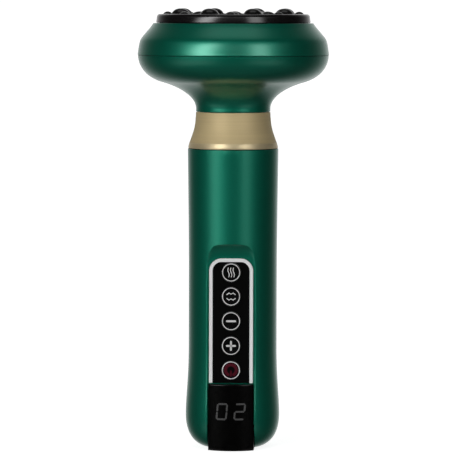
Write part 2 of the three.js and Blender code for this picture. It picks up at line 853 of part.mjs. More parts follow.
function makeInnerFrame() {
  const webHalfWidth = Math.sqrt((gripRadius - gripWall) ** 2 - webFrontY ** 2) - gap;
  const web = box(-webHalfWidth, webHalfWidth, webFrontY, webBackY, lowDiscZ, highDiscTopZ);
  const lowDisc = cylinder(innerRadius(lowDiscZ) - gap, lowDiscZ, lowDiscTopZ, bigSides);
  const highDisc = cylinder(gripRadius - gripWall - gap, highDiscZ, highDiscTopZ, bigSides);
  const stand = tube(standRadius - standWall, standRadius, highDiscTopZ - fit, canZ - gap);
  const bosses = [];
  for (const x of [-1, 1]) {
    for (const z of [firstKeyZ, lastKeyZ]) {
      bosses.push(turnedBack(
        [[0, boardBackY + fit], [boardBossRadius, boardBackY + fit],
          [boardBossRadius, webBackY], [0, webBackY]],
        x * (boardHalfWidth - boardBossRadius), z - keyPitch / 2, smallSides,
      ));
    }
  }
  const footBosses = footScrewPlaces().map((place) => tube(
    screwShank + fit, footBossRadius,
    gripWall + footFlangeThickness + 3 * gap, lowDiscTopZ, smallSides,
  ).translate(place));
  const screwHoles = footScrewPlaces().map((place) => cylinder(
    screwShank + fit, lowDiscZ - overrun, lowDiscTopZ + fit, smallSides,
  ).translate(place));
  const boardNotch = box(
    -boardHalfWidth - gap, boardHalfWidth + gap, -bulgeRadius, boardBackY + gap,
    lowDiscZ - overrun, canZ + overrun,
  );
  const slabHalfWidth = slotHalfWidth + slabReach + gap;
  const slabNotch = box(
    -slabHalfWidth, slabHalfWidth, -bulgeRadius, slabBackY + gap, lowDiscZ - overrun, canZ + overrun,
  );
  return union([web, lowDisc, highDisc, stand, ...bosses])
    .subtract(boardNotch.subtract(union(bosses)))
    .subtract(slabNotch)
    .subtract(union(screwHoles))
    .add(union(footBosses));
}

function makeCell() {
  const lowZ = lowDiscTopZ + gap;
  return turned([
    [0, lowZ],
    [cellRadius, lowZ],
    [cellRadius, lowZ + cellLength],
    [cellCapRadius, lowZ + cellLength],
    [cellCapRadius, lowZ + cellLength + cellCapHeight],
    [0, lowZ + cellLength + cellCapHeight],
  ], midSides).translate([0, cellY, 0]);
}

// Vacuum pump

function makeMotorCan() {
  return turned([
    [shaftRadius + fit, canZ],
    [canRadius, canZ],
    [canRadius, canZ + canHeight],
    [canRadius - canWall, canZ + canHeight],
    [canRadius - canWall, canZ + canFloor],
    [shaftRadius + fit, canZ + canFloor],
  ], midSides);
}

function makeRotor() {
  const armatureZ = canZ + armatureRise;
  const spindle = turned([
    [0, canZ],
    [shaftRadius, canZ],
    [shaftRadius, armatureZ],
    [armatureRadius, armatureZ],
    [armatureRadius, armatureZ + armatureLength],
    [shaftRadius, armatureZ + armatureLength],
    [shaftRadius, crankZ + crankThickness],
    [0, crankZ + crankThickness],
  ], midSides);
  const crank = cylinder(crankRadius, crankZ, crankZ + crankThickness).translate([crankOffset, 0, 0]);
  const pin = cylinder(crankPinRadius, crankZ, crankZ + crankThickness + crankPinLength, smallSides)
    .translate([crankPinOffset, 0, 0]);
  return union([spindle, crank, pin]);
}

function makeCrankHouse() {
  const floorTopZ = crankHouseZ + crankHouseWall;
  return turned([
    [shaftRadius + fit, crankHouseZ],
    [pumpRadius, crankHouseZ],
    [pumpRadius, crankHouseZ + crankHouseHeight],
    [pumpRadius - crankHouseWall, crankHouseZ + crankHouseHeight],
    [pumpRadius - crankHouseWall, floorTopZ],
    [shaftRadius + fit, floorTopZ],
  ], midSides);
}

function makeDiaphragm() {
  const cups = ringOf(cupCount, 0, (angle) => cylinder(
    cupRadius, diaphragmZ - cupDepth, diaphragmZ + diaphragmThickness / 2, smallSides,
  ).translate([cupRingRadius * Math.cos(angle), cupRingRadius * Math.sin(angle), 0]));
  return union([cylinder(pumpRadius, diaphragmZ, diaphragmZ + diaphragmThickness), ...cups]);
}

function makePumpHead() {
  return turned([
    [nippleBore, pumpHeadZ + plenumDepth],
    [pumpRadius - plenumWall, pumpHeadZ + plenumDepth],
    [pumpRadius - plenumWall, pumpHeadZ],
    [pumpRadius, pumpHeadZ],
    [pumpRadius, pumpHeadTopZ],
    [nippleRadius, pumpHeadTopZ],
    [nippleRadius, pumpHeadTopZ + pumpNozzleLength],
    [nippleBore, pumpHeadTopZ + pumpNozzleLength],
  ], midSides);
}

function makeSleeve() {
  const topZ = canZ + canHeight - sleeveMargin;
  return tube(canRadius + fit, gripRadius - gripWall - gap, topZ - sleeveHeight, topZ);
}

// A hose is swept along a curve, and its section has the bore as a hole
function sweptHose(curve) {
  const section = new THREE.Shape().absarc(0, 0, hoseRadius, 0, 2 * Math.PI);
  section.holes.push(new THREE.Path().absarc(0, 0, hoseBore, 0, 2 * Math.PI));
  const geometry = new THREE.ExtrudeGeometry(section, {
    steps: hoseSteps,
    curveSegments: hoseSides,
    extrudePath: curve,
  });
  return toSolid(geometry);
}

function makePumpHose() {
  return tube(hoseBore, hoseRadius, pumpHeadTopZ + gap, chamberZ - gap, smallSides);
}

// Head

const bowlInside = inset(bowlOutline, headWall);

// The bowl filled up to the middle of its wall
function bowlCore(topZ) {
  const outline = inset(bowlOutline, headWall / 2);
  return turned([[0, neckZ], ...outline, [bowlRadius - headWall / 2, topZ], [0, topZ]]);
}

function headScrewPlaces() {
  return ringOf(headScrewCount, headScrewTurn, (angle) => [
    headScrewRing * Math.cos(angle), headScrewRing * Math.sin(angle), 0,
  ]);
}

function makeBowl() {
  const inside = bowlInside.filter(([radius, z]) => radius > neckTubeBore && z < seamZ);
  const shell = turned([
    [neckTubeBore, flangeZ],
    [neckTubeRadius + flangeReach, flangeZ],
    [neckTubeRadius + flangeReach, flangeZ + flangeThickness],
    [neckTubeRadius, flangeZ + flangeThickness],
    [neckTubeRadius, neckZ],
    ...bowlOutline,
    [bowlRadius - headWall, seamZ],
    ...inside.reverse(),
    [neckTubeBore, neckZ + headWall],
  ]);
  const socket = cylinder(valveRadius + gap + socketWall, neckZ, socketFloorZ + socketDepth)
    .translate([valveX, 0, 0]);
  const socketBore = cylinder(valveRadius + gap, socketFloorZ, seamZ).translate([valveX, 0, 0]);
  const bosses = headScrewPlaces().map((place) => cylinder(
    bossRadius, neckZ, lugZ - gap, smallSides,
  ).translate(place));
  const screwHoles = headScrewPlaces().map((place) => cylinder(
    screwShank + fit, lugZ + lugHeight - headScrewLength - gap, seamZ + overrun, smallSides,
  ).translate(place));
  return shell
    .add(union([socket, ...bosses]).intersect(bowlCore(lugZ)))
    .subtract(socketBore)
    .subtract(union(screwHoles));
}

function makeDish() {
  const inside = inset(dishOutline, headWall).filter(
    ([radius, z]) => z > dishZ && z < shoulderZ - shelfThickness,
  );
  const lipOuter = radiusAt(bowlInside, seamZ - lipDepth) - gap;
  const shell = turned([
    [lipOuter - lipThickness, seamZ - lipDepth],
    [lipOuter, seamZ - lipDepth],
    [lipOuter, dishZ],
    ...dishOutline,
    [plateBodyRadius + gap, shoulderZ],
    [plateBodyRadius + gap, shoulderZ - shelfThickness],
    ...inside.reverse(),
    [lipOuter - lipThickness, dishZ + headWall],
  ]);
  const core = turned([[0, dishZ], ...inset(dishOutline, headWall / 2), [0, shoulderZ]]);
  const lugs = ringOf(headScrewCount, headScrewTurn, (angle) => box(
    headScrewRing - bossRadius, headRadius, -lugWidth / 2, lugWidth / 2, lugZ, lugZ + lugHeight,
  ).rotate([0, 0, THREE.MathUtils.radToDeg(angle)]));
  const holes = headScrewPlaces().map((place) => cylinder(
    screwShank + fit, lugZ - overrun, lugZ + lugHeight + fit, smallSides,
  ).translate(place));
  return shell.add(union(lugs).intersect(core)).subtract(union(holes));
}

function makeCollar() {
  const bore = neckTubeRadius + gap;
  const recessRadius = bore + spigotWall + gap;
  const recessTopZ = gripHeight + spigotHeight + gap;
  return turned([
    ...collarOutline,
    [bore, collarTopZ],
    [bore, recessTopZ],
    [recessRadius, recessTopZ],
    [recessRadius, collarZ],
  ]);
}

function makeRim() {
  const innerRadius = plateBodyRadius + gap;
  const sealRadius = innerRadius + sealWidth + 2 * fit;
  return turned([
    [innerRadius, rimZ],
    [rimRadius - rimEdge / 2, rimZ],
    [rimRadius, rimZ + rimEdge / 2],
    [rimRadius, rimTopZ - rimEdge],
    [rimRadius - rimEdge, rimTopZ],
    [sealRadius, rimTopZ],
    [sealRadius, rimTopZ - sealHeight - fit],
    [innerRadius, rimTopZ - sealHeight - fit],
  ]);
}

function makeSeal() {
  const innerRadius = plateBodyRadius + gap + fit;
  return tube(innerRadius, innerRadius + sealWidth, rimTopZ - sealHeight, rimTopZ, bigSides);
}

// A low rounded stud, whose foot is sunk into the floor that carries it
function stud(radius, height, sides) {
  const path = new THREE.Path()
    .moveTo(radius, floorZ)
    .quadraticCurveTo(radius, floorZ + height, 0, floorZ + height);
  const curve = path.getPoints(studSteps).map((point) => [point.x, point.y]);
  const sunkZ = floorZ - plateThickness / 2;
  return turned([[0, sunkZ], [radius, sunkZ], ...curve], sides);
}

function studs(ringRadius, radius, proud, sides) {
  return union(ringOf(faceCount, 0, (angle) => stud(radius, dishedDepth + proud, sides)
    .translate([ringRadius * Math.cos(angle), ringRadius * Math.sin(angle), 0])));
}

function domePlaces() {
  return ringOf(faceCount, Math.PI / faceCount, (angle) => [
    domeRingRadius * Math.cos(angle), domeRingRadius * Math.sin(angle), 0,
  ]);
}

function makePlate() {
  const skirtLowZ = floorZ - plateSkirtHeight;
  const disc = turned([
    [0, plateUnderZ],
    [plateBodyRadius - plateSkirtWall, plateUnderZ],
    [plateBodyRadius - plateSkirtWall, skirtLowZ],
    [plateBodyRadius, skirtLowZ],
    [plateBodyRadius, lipZ],
    [lipRadius - lipEdge, lipZ],
    [lipRadius, lipZ + lipEdge],
    [lipRadius, faceZ - lipEdge],
    [lipRadius - lipEdge, faceZ],
    [lipRadius - lipWidth, faceZ],
    [lipRadius - lipWidth - dishedDepth, floorZ],
    [0, floorZ],
  ]);
  const stemHoles = domePlaces().map((place) => cylinder(
    domeStemRadius + fit, plateUnderZ - overrun, floorZ + overrun, smallSides,
  ).translate(place));
  const filterHole = cylinder(filterRadius + fit, plateUnderZ - overrun, floorZ + overrun);
  return disc
    .add(studs(bumpRingRadius, bumpRadius, bumpProud, smallSides))
    .add(studs(nubRingRadius, nubRadius, nubProud, tinySides))
    .subtract(union(stemHoles))
    .subtract(filterHole);
}

function makeDome() {
  const baseZ = floorZ + fit;
  const topZ = faceZ + domeProud;
  const path = new THREE.Path()
    .moveTo(domeRadius, baseZ)
    .bezierCurveTo(
      domeRadius, between(baseZ, topZ, domeCurveShares[0]),
      domeRadius * domeCurveShares[1], topZ,
      0, topZ,
    );
  return turned([
    [0, floorZ - domeStemLength],
    [domeStemRadius, floorZ - domeStemLength],
    [domeStemRadius, baseZ],
    ...rounded(path),
  ], smallSides);
}

function makeFilter() {
  const flangeLowZ = floorZ + fit;
  const cap = turned([
    [0, plateUnderZ + fit],
    [filterRadius, plateUnderZ + fit],
    [filterRadius, flangeLowZ],
    [filterRadius + filterFlange, flangeLowZ],
    [filterRadius + filterFlange, flangeLowZ + filterFlangeHeight],
    [0, flangeLowZ + filterFlangeHeight],
  ], midSides);
  const hole = () => cylinder(
    filterHoleRadius, plateUnderZ - overrun, floorZ + overrun, tinySides,
  );
  const ring = ringOf(filterHoleCount, 0, (angle) => hole().translate([
    filterHoleRing * Math.cos(angle), filterHoleRing * Math.sin(angle), 0,
  ]));
  return cap.subtract(union([hole(), ...ring]));
}

function makeHeater() {
  return tube(
    heaterInnerRadius, plateBodyRadius - plateSkirtWall - gap,
    plateUnderZ - fit - heaterThickness, plateUnderZ - fit,
  );
}

// A nipple or its bore, lying along +X
function sidePin(radius, lowX, highX) {
  return cylinder(radius, lowX, highX, smallSides).rotate([0, 90, 0]).translate([0, 0, sideNippleZ]);
}

function makeChamber() {
  const cup = turned([
    [0, chamberZ],
    [chamberRadius, chamberZ],
    [chamberRadius, chamberZ + chamberHeight],
    [chamberRadius - chamberWall, chamberZ + chamberHeight],
    [chamberRadius - chamberWall, chamberZ + chamberWall],
    [0, chamberZ + chamberWall],
  ], midSides);
  const lowNipple = cylinder(nippleRadius, chamberZ - nippleLength, chamberZ + chamberWall / 2, smallSides);
  const lowBore = cylinder(nippleBore, chamberZ - nippleLength - overrun, chamberZ + overrun, smallSides);
  const sideEndX = chamberRadius + nippleLength;
  const sideNipple = sidePin(nippleRadius, chamberRadius - chamberWall / 2, sideEndX);
  const sideBore = sidePin(nippleBore, chamberRadius - overrun, sideEndX + overrun);
  return union([cup, lowNipple, sideNipple]).subtract(lowBore).subtract(sideBore);
}

// Release valve

function makeValveBody() {
  return turned([
    [valveBore, valveZ],
    [valveRadius, valveZ],
    [valveRadius, valveTopZ],
    [nippleRadius, valveTopZ],
    [nippleRadius, valveTopZ + valveNippleLength],
    [nippleBore, valveTopZ + valveNippleLength],
    [nippleBore, valveBoreTopZ],
    [valveBore, valveBoreTopZ],
  ], midSides).translate([valveX, 0, 0]);
}

function makeValvePlunger() {
  return cylinder(plungerRadius, plungerLowZ, plungerTopZ, smallSides).translate([valveX, 0, 0]);
}

function makeValveSpring() {
  return tube(plungerRadius - springWall, plungerRadius, valveZ, plungerLowZ - fit, smallSides)
    .translate([valveX, 0, 0]);
}

function makeValveHose() {
  const start = new THREE.Vector3(chamberRadius + gap, 0, sideNippleZ);
  const bendStart = new THREE.Vector3(chamberRadius + nippleLength, 0, sideNippleZ);
  const corner = new THREE.Vector3(valveX, 0, sideNippleZ);
  const bendEnd = new THREE.Vector3(valveX, 0, valveTopZ + valveNippleLength);
  const end = new THREE.Vector3(valveX, 0, valveTopZ + gap);
  const path = new THREE.CurvePath();
  path.add(new THREE.LineCurve3(start, bendStart));
  path.add(new THREE.QuadraticBezierCurve3(bendStart, corner, bendEnd));
  path.add(new THREE.LineCurve3(bendEnd, end));
  return sweptHose(path);
}

// Screws

function makeScrew(lowZ, length) {
  const headZ = lowZ + length;
  return turned([
    [0, lowZ],
    [screwShank, lowZ],
    [screwShank, headZ],
    [screwHead, headZ],
    [screwHead, headZ + screwHeadHeight],
    [0, headZ + screwHeadHeight],
  ], smallSides);
}

// Foot screws point up, with their heads below
function makeFootScrew() {
  return makeScrew(0, footScrewLength)
    .rotate([180, 0, 0])
    .translate([0, 0, footScrewSunk + footScrewLength + screwHeadHeight - fit]);
}

// Finishes

function finish(color, roughness, metalness) {
  return { color, roughness, metalness };
}

const green = finish(0x084636, 0.35, 0.55);
const gold = finish(0xb9a276, 0.32, 0.9);
const glossBlack = finish(0x0b0b0c, 0.12, 0);
const panelBlack = finish(0x0d0d0d, 0.35, 0);
const silver = finish(0xc8cac9, 0.3, 0.6);
const innerPlastic = finish(0x2a2c2e, 0.6, 0);
const steel = finish(0xa8abae, 0.3, 0.9);
const boardGreen = finish(0x14502c, 0.5, 0);
const cellWrap = finish(0x2d5fa8, 0.4, 0);
const softRubber = finish(0x1c1c1c, 0.8, 0);
const silicone = finish(0xd9dcd8, 0.5, 0);

const part = new THREE.Group();

function place(name, solid, look) {
  const data = solid.getMesh();
  const geometry = new THREE.BufferGeometry();
  geometry.setAttribute('position', new THREE.Float32BufferAttribute(data.vertProperties, 3));
  geometry.setIndex(new THREE.Uint32BufferAttribute(data.triVerts, 1));
  geometry.computeVertexNormals();
  const mesh = new THREE.Mesh(geometry, new THREE.MeshStandardMaterial(look));
  mesh.name = name;
  part.add(mesh);
}

place('handle_front_shell', makeGripFront(), green);
place('handle_back_shell', makeGripBack(), green);
place('collar_ring', makeCollar(), gold);
place('head_lower_shell', makeBowl(), green);
place('head_upper_shell', makeDish(), green);
place('plate_rim', makeRim(), glossBlack);
place('plate_seal', makeSeal(), softRubber);
place('massage_plate', makePlate(), glossBlack);
domePlaces().forEach((at, i) => {
  place(`massage_dome_${i + 1}`, makeDome().translate(at), glossBlack);
});
place('suction_filter', makeFilter(), softRubber);
place('heater_ring', makeHeater(), steel);
place('vacuum_chamber', makeChamber(), innerPlastic);

place('panel_frame', makePanelFrame(), silver);
place('panel_plate', makePanelPlate(), panelBlack);
place('display_window', makeDisplayWindow(), glossBlack);
place('display_module', makeDisplayModule(), innerPlastic);
keyHeights().forEach((z, i) => {
  place(`key_${keyNames[i]}`, makeKey(z), panelBlack);
  place(`switch_${keyNames[i]}`, makeSwitchBody(z), steel);
  place(`switch_plunger_${keyNames[i]}`, makeSwitchPlunger(z), innerPlastic);
});
place('main_board', makeMainBoard(), boardGreen);
place('charge_socket', makeChargeSocket(), steel);
place('foot_cap', makeFoot(), panelBlack);
footScrewPlaces().forEach((at, i) => {
  place(`foot_screw_${i + 1}`, makeFootScrew().translate(at), steel);
});
place('inner_frame', makeInnerFrame(), innerPlastic);
place('battery_cell', makeCell(), cellWrap);

place('motor_can', makeMotorCan(), steel);
place('motor_rotor', makeRotor(), steel);
place('pump_crankcase', makeCrankHouse(), innerPlastic);
place('pump_diaphragm', makeDiaphragm(), softRubber);
place('pump_head', makePumpHead(), innerPlastic);
place('pump_sleeve', makeSleeve(), softRubber);
place('pump_hose', makePumpHose(), silicone);

place('valve_body', makeValveBody(), steel);
place('valve_plunger', makeValvePlunger(), steel);
place('valve_spring', makeValveSpring(), steel);
place('valve_hose', makeValveHose(), silicone);
headScrewPlaces().forEach((at, i) => {
  const lowZ = lugZ + lugHeight + fit - headScrewLength;
  place(`head_screw_${i + 1}`, makeScrew(lowZ, headScrewLength).translate(at), steel);
});

export default part;
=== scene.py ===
import bpy
import bmesh
import json
import math
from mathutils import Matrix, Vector


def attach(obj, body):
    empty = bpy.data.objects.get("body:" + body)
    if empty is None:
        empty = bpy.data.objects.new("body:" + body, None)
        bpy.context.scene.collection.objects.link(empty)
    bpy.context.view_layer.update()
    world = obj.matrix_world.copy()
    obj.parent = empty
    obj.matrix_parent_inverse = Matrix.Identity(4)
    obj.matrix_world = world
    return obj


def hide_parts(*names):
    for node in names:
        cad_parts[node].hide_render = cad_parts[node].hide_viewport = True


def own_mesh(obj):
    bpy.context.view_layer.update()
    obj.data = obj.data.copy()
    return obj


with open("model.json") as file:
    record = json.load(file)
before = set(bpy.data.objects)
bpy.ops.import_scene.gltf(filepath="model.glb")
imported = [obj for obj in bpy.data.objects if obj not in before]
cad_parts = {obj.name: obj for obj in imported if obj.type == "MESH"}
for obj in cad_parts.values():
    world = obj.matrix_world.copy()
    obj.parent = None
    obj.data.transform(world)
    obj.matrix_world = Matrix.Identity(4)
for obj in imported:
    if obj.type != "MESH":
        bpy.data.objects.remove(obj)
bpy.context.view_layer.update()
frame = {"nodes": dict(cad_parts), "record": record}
nodes = frame["nodes"]
mm = 0.001
print("frame loaded:", len(nodes), "nodes")


# Stage: camera, floor, lights and surroundings

cameraLook = {
    "azimuth": 2.557,  # turns are in degrees, places in metres
    "standAzimuth": 2.5,
    "roll": -0.14,
    "distance": 1.64,
    "height": 0.2117,
    "pitch": 3.833,
    "lens": 274.2,
    "sensor": 36,
    "farthest": 1000,
}


def makeCamera(look):
    data = bpy.data.cameras.new("camera")
    data.sensor_width = look["sensor"]
    data.lens = look["lens"]
    data.clip_end = look["farthest"]
    camera = bpy.data.objects.new("camera", data)
    bpy.context.scene.collection.objects.link(camera)
    side, away = math.radians(look["standAzimuth"]), look["distance"]
    camera.location = (away * math.sin(side), -away * math.cos(side), look["height"])
    turns = (90 - look["pitch"], look["roll"], look["azimuth"])
    camera.rotation_euler = [math.radians(turn) for turn in turns]
    bpy.context.scene.camera = camera


def setInputs(node, values):
    for name, value in values.items():
        node.inputs[name].default_value = value


floorLook = {"reach": 300, "colour": (0.8, 0.8, 0.8), "rough": 0.9, "glow": 0.85}


def makeFloor(look):
    reach = look["reach"]
    corners = [(-reach, -reach, 0), (reach, -reach, 0), (reach, reach, 0), (-reach, reach, 0)]
    mesh = bpy.data.meshes.new("floor")
    mesh.from_pydata(corners, [], [(0, 1, 2, 3)])
    floor = bpy.data.objects.new("floor", mesh)
    bpy.context.scene.collection.objects.link(floor)
    material = bpy.data.materials.new("floorPaper")
    material.use_nodes = True
    setInputs(material.node_tree.nodes["Principled BSDF"], {
        "Base Color": (*look["colour"], 1),
        "Roughness": look["rough"],
        "Specular IOR Level": 0,
        "Emission Color": (1, 1, 1, 1),
        "Emission Strength": look["glow"],
    })
    mesh.materials.append(material)
    floor.visible_diffuse = False
    floor.visible_glossy = False


# The studio as seen from the object: azimuths in degrees from -Y toward +X,
# heights as sines of the elevation; each edge has a fade, over which it goes soft
studio = {
    "ambient": 0.02,
    "softBoxes": {
        "left": {
            "azimuth": -50, "half": 11, "soft": 8, "lean": 60,
            "low": 0.06, "high": 0.42, "fade": 0.06, "light": 8.2,
        },
        "right": {
            "azimuth": 37, "half": 10, "soft": 6, "lean": -6,
            "low": 0.045, "high": 0.42, "fade": 0.06, "light": 3.8,
        },
        "front": {
            "azimuth": 0, "half": 60, "soft": 25, "lean": 0,
            "low": 0.26, "high": 0.38, "fade": 0.05, "light": 1.0,
        },
        "lowLeft": {
            "azimuth": -50, "half": 25, "soft": 14, "lean": 0,
            "low": -0.60, "high": -0.28, "fade": 0.08, "light": 0.5,
        },
        "lowRight": {
            "azimuth": 45, "half": 20, "soft": 12, "lean": 0,
            "low": -0.60, "high": -0.28, "fade": 0.08, "light": 0.42,
        },
    },
    "top": {
        "half": 0.36, "soft": 0.12, "front": -0.22, "frontSoft": 0.25,
        "back": 0.25, "backSoft": 0.15, "low": 0.3, "lowSoft": 0.1, "light": 0.80,
    },
    "below": {"edge": -0.45, "soft": 0.15, "back": 0.1, "backSoft": 0.3, "light": 0.07},
    "back": {"power": 4.5, "light": 1.0},
}


def makeStudio(look):
    world = bpy.data.worlds.new("studio")
    bpy.context.scene.world = world
    world.use_nodes = True
    tree = world.node_tree
    background = tree.nodes["Background"]
    background.inputs["Color"].default_value = (1, 1, 1, 1)

    def plug(value, socket):
        if isinstance(value, bpy.types.NodeSocket):
            tree.links.new(value, socket)
        else:
            socket.default_value = value

    def calculate(kind, *values):
        node = tree.nodes.new("ShaderNodeMath")
        node.operation = kind
        for value, socket in zip(values, node.inputs):
            plug(value, socket)
        return node.outputs[0]

    def rising(value, edge, soft):
        # Goes smoothly from 0 to 1 about the edge
        node = tree.nodes.new("ShaderNodeMapRange")
        node.interpolation_type = "SMOOTHSTEP"
        setInputs(node, {"From Min": edge - soft, "From Max": edge + soft, "To Min": 0, "To Max": 1})
        tree.links.new(value, node.inputs["Value"])
        return node.outputs["Result"]

    def falling(value, edge, soft):
        result = rising(value, edge, soft)
        setInputs(result.node, {"To Min": 1, "To Max": 0})
        return result

    def shining(light, first, second):
        return calculate("MULTIPLY", calculate("MULTIPLY", first, second), light)

    coords = tree.nodes.new("ShaderNodeTexCoord")
    split = tree.nodes.new("ShaderNodeSeparateXYZ")
    tree.links.new(coords.outputs["Generated"], split.inputs[0])
    x, y, z = split.outputs
    azimuth = calculate("ARCTAN2", x, calculate("MULTIPLY", y, -1.0))
    total = look["ambient"]
    for box in look["softBoxes"].values():
        centre = calculate("MULTIPLY_ADD", z, math.radians(box["lean"]), math.radians(box["azimuth"]))
        away = calculate("ABSOLUTE", calculate("SUBTRACT", azimuth, centre))
        across = falling(away, math.radians(box["half"]), math.radians(box["soft"]))
        upper, lower = falling(z, box["high"], box["fade"]), rising(z, box["low"], box["fade"])
        lit = shining(box["light"], across, calculate("MULTIPLY", lower, upper))
        total = calculate("ADD", lit, total)
    top = look["top"]
    across = falling(calculate("ABSOLUTE", x), top["half"], top["soft"])
    front, rear = rising(y, top["front"], top["frontSoft"]), falling(y, top["back"], top["backSoft"])
    above = calculate("MULTIPLY", calculate("MULTIPLY", front, rear), rising(z, top["low"], top["lowSoft"]))
    total = calculate("ADD", total, shining(top["light"], across, above))
    below = look["below"]
    front, low = falling(y, below["back"], below["backSoft"]), falling(z, below["edge"], below["soft"])
    total = calculate("ADD", total, shining(below["light"], low, front))
    back = look["back"]
    behind = calculate("POWER", calculate("MAXIMUM", y, 0.0), back["power"])
    total = calculate("ADD", total, calculate("MULTIPLY", behind, back["light"]))
    seen = tree.nodes.new("ShaderNodeLightPath")
    total = calculate("MAXIMUM", total, seen.outputs["Is Camera Ray"])
    tree.links.new(total, background.inputs["Strength"])


makeCamera(cameraLook)
makeFloor(floorLook)
makeStudio(studio)
bpy.context.scene.view_settings.view_transform = "Standard"
print("stage ready")


# Finishes: two colours that the grain mixes, the range of roughness, and what else the surface has

finishes = {
    "greenLacquer": {
        "colours": ((0.001, 0.228, 0.142), (0.002, 0.250, 0.157)), "rough": (0.38, 0.41),
        "grain": 2600, "bump": 0.002, "metallic": 0.72, "specular": 0, "coat": (0.95, 0.26),
    },
    "champagneGold": {
        "colours": ((0.76, 0.59, 0.31), (0.80, 0.625, 0.33)), "rough": (0.52, 0.58),
        "grain": 1500, "bump": 0.004, "stretch": (0.02, 0.02, 1), "metallic": 0.18,
        "sheen": (0.9, 0.3, (1, 0.86, 0.62)),
    },
    "polishedGold": {
        "colours": ((0.84, 0.69, 0.42), (0.88, 0.72, 0.44)), "rough": (0.34, 0.40),
        "grain": 1500, "bump": 0.003, "stretch": (0.02, 0.02, 1), "metallic": 0.5,
        "sheen": (0.6, 0.3, (1, 0.86, 0.62)),
    },
    "glossBlack": {
        "colours": ((0.008, 0.007, 0.0075), (0.010, 0.009, 0.0095)), "rough": (0.15, 0.19),
        "grain": 900, "bump": 0.003,
    },
    "domeBlack": {
        "colours": ((0.006, 0.006, 0.006), (0.009, 0.009, 0.009)), "rough": (0.08, 0.12),
        "grain": 900, "bump": 0.003,
    },
    "smokedWindow": {
        "colours": ((0.001, 0.001, 0.001), (0.002, 0.002, 0.002)), "rough": (0.15, 0.19),
        "grain": 500, "bump": 0.002, "specular": 0.25,
    },
    "panelBlack": {
        "colours": ((0.0015, 0.0015, 0.0015), (0.0025, 0.0025, 0.0025)), "rough": (0.28, 0.34),
        "grain": 4000, "bump": 0.004, "specular": 0.12,
    },
    # The silver trim's weak glow is painted light: it makes the frame brighter than the lamps alone would.
    "silverTrim": {
        "colours": ((0.93, 0.94, 0.94), (0.97, 0.98, 0.98)), "rough": (0.42, 0.5),
        "grain": 2500, "bump": 0.004, "stretch": (1, 1, 0.03), "glow": (0.9, 0.93, 0.93, 0.1),
    },
    "printWhite": {
        "colours": ((0.84, 0.84, 0.84), (0.92, 0.92, 0.92)), "rough": (0.5, 0.6),
        "grain": 3000, "bump": 0.004,
    },
    # The red print's glow is painted light: the printed mark gives off a little light of its own.
    "printRed": {
        "colours": ((0.045, 0.003, 0.008), (0.060, 0.004, 0.010)), "rough": (0.5, 0.6),
        "grain": 3000, "bump": 0.004, "specular": 0.1, "glow": (0.08, 0.006, 0.013, 0.3),
    },
    "dimDigit": {
        "colours": ((0.03, 0.03, 0.03), (0.045, 0.045, 0.045)), "rough": (0.25, 0.3),
        "grain": 3000, "bump": 0.002, "glow": (0.04, 0.04, 0.04, 0.6),
    },
    "footBlack": {
        "colours": ((0.010, 0.010, 0.010), (0.016, 0.016, 0.016)), "rough": (0.55, 0.7),
        "grain": 5000, "bump": 0.04,
    },
    "innerPlastic": {
        "colours": ((0.020, 0.023, 0.026), (0.030, 0.033, 0.036)), "rough": (0.5, 0.65),
        "grain": 2500, "bump": 0.02,
    },
    "zincSteel": {
        "colours": ((0.40, 0.41, 0.42), (0.52, 0.53, 0.54)), "rough": (0.25, 0.4),
        "grain": 1800, "bump": 0.02, "metallic": 1.0,
    },
    "drawnCan": {
        "colours": ((0.42, 0.42, 0.44), (0.50, 0.50, 0.52)), "rough": (0.3, 0.42),
        "grain": 1400, "bump": 0.02, "stretch": (1, 1, 0.05), "metallic": 1.0,
    },
    "heaterPlate": {
        "colours": ((0.50, 0.50, 0.52), (0.58, 0.58, 0.60)), "rough": (0.4, 0.5),
        "grain": 1600, "bump": 0.02, "metallic": 1.0,
    },
    "boardGreen": {
        "colours": ((0.006, 0.070, 0.024), (0.012, 0.105, 0.038)), "rough": (0.35, 0.45),
        "grain": 700, "bump": 0.02,
    },
    "cellWrap": {
        "colours": ((0.026, 0.105, 0.36), (0.034, 0.125, 0.41)), "rough": (0.3, 0.4),
        "grain": 900, "bump": 0.02,
    },
    "softRubber": {
        "colours": ((0.010, 0.010, 0.010), (0.017, 0.017, 0.017)), "rough": (0.7, 0.85),
        "grain": 3500, "bump": 0.03,
    },
    "silicone": {
        "colours": ((0.62, 0.64, 0.60), (0.70, 0.71, 0.68)), "rough": (0.4, 0.5),
        "grain": 1200, "bump": 0.02,
    },
}
grainLook = {"detail": 3, "firstColour": 0.35, "secondColour": 0.65}


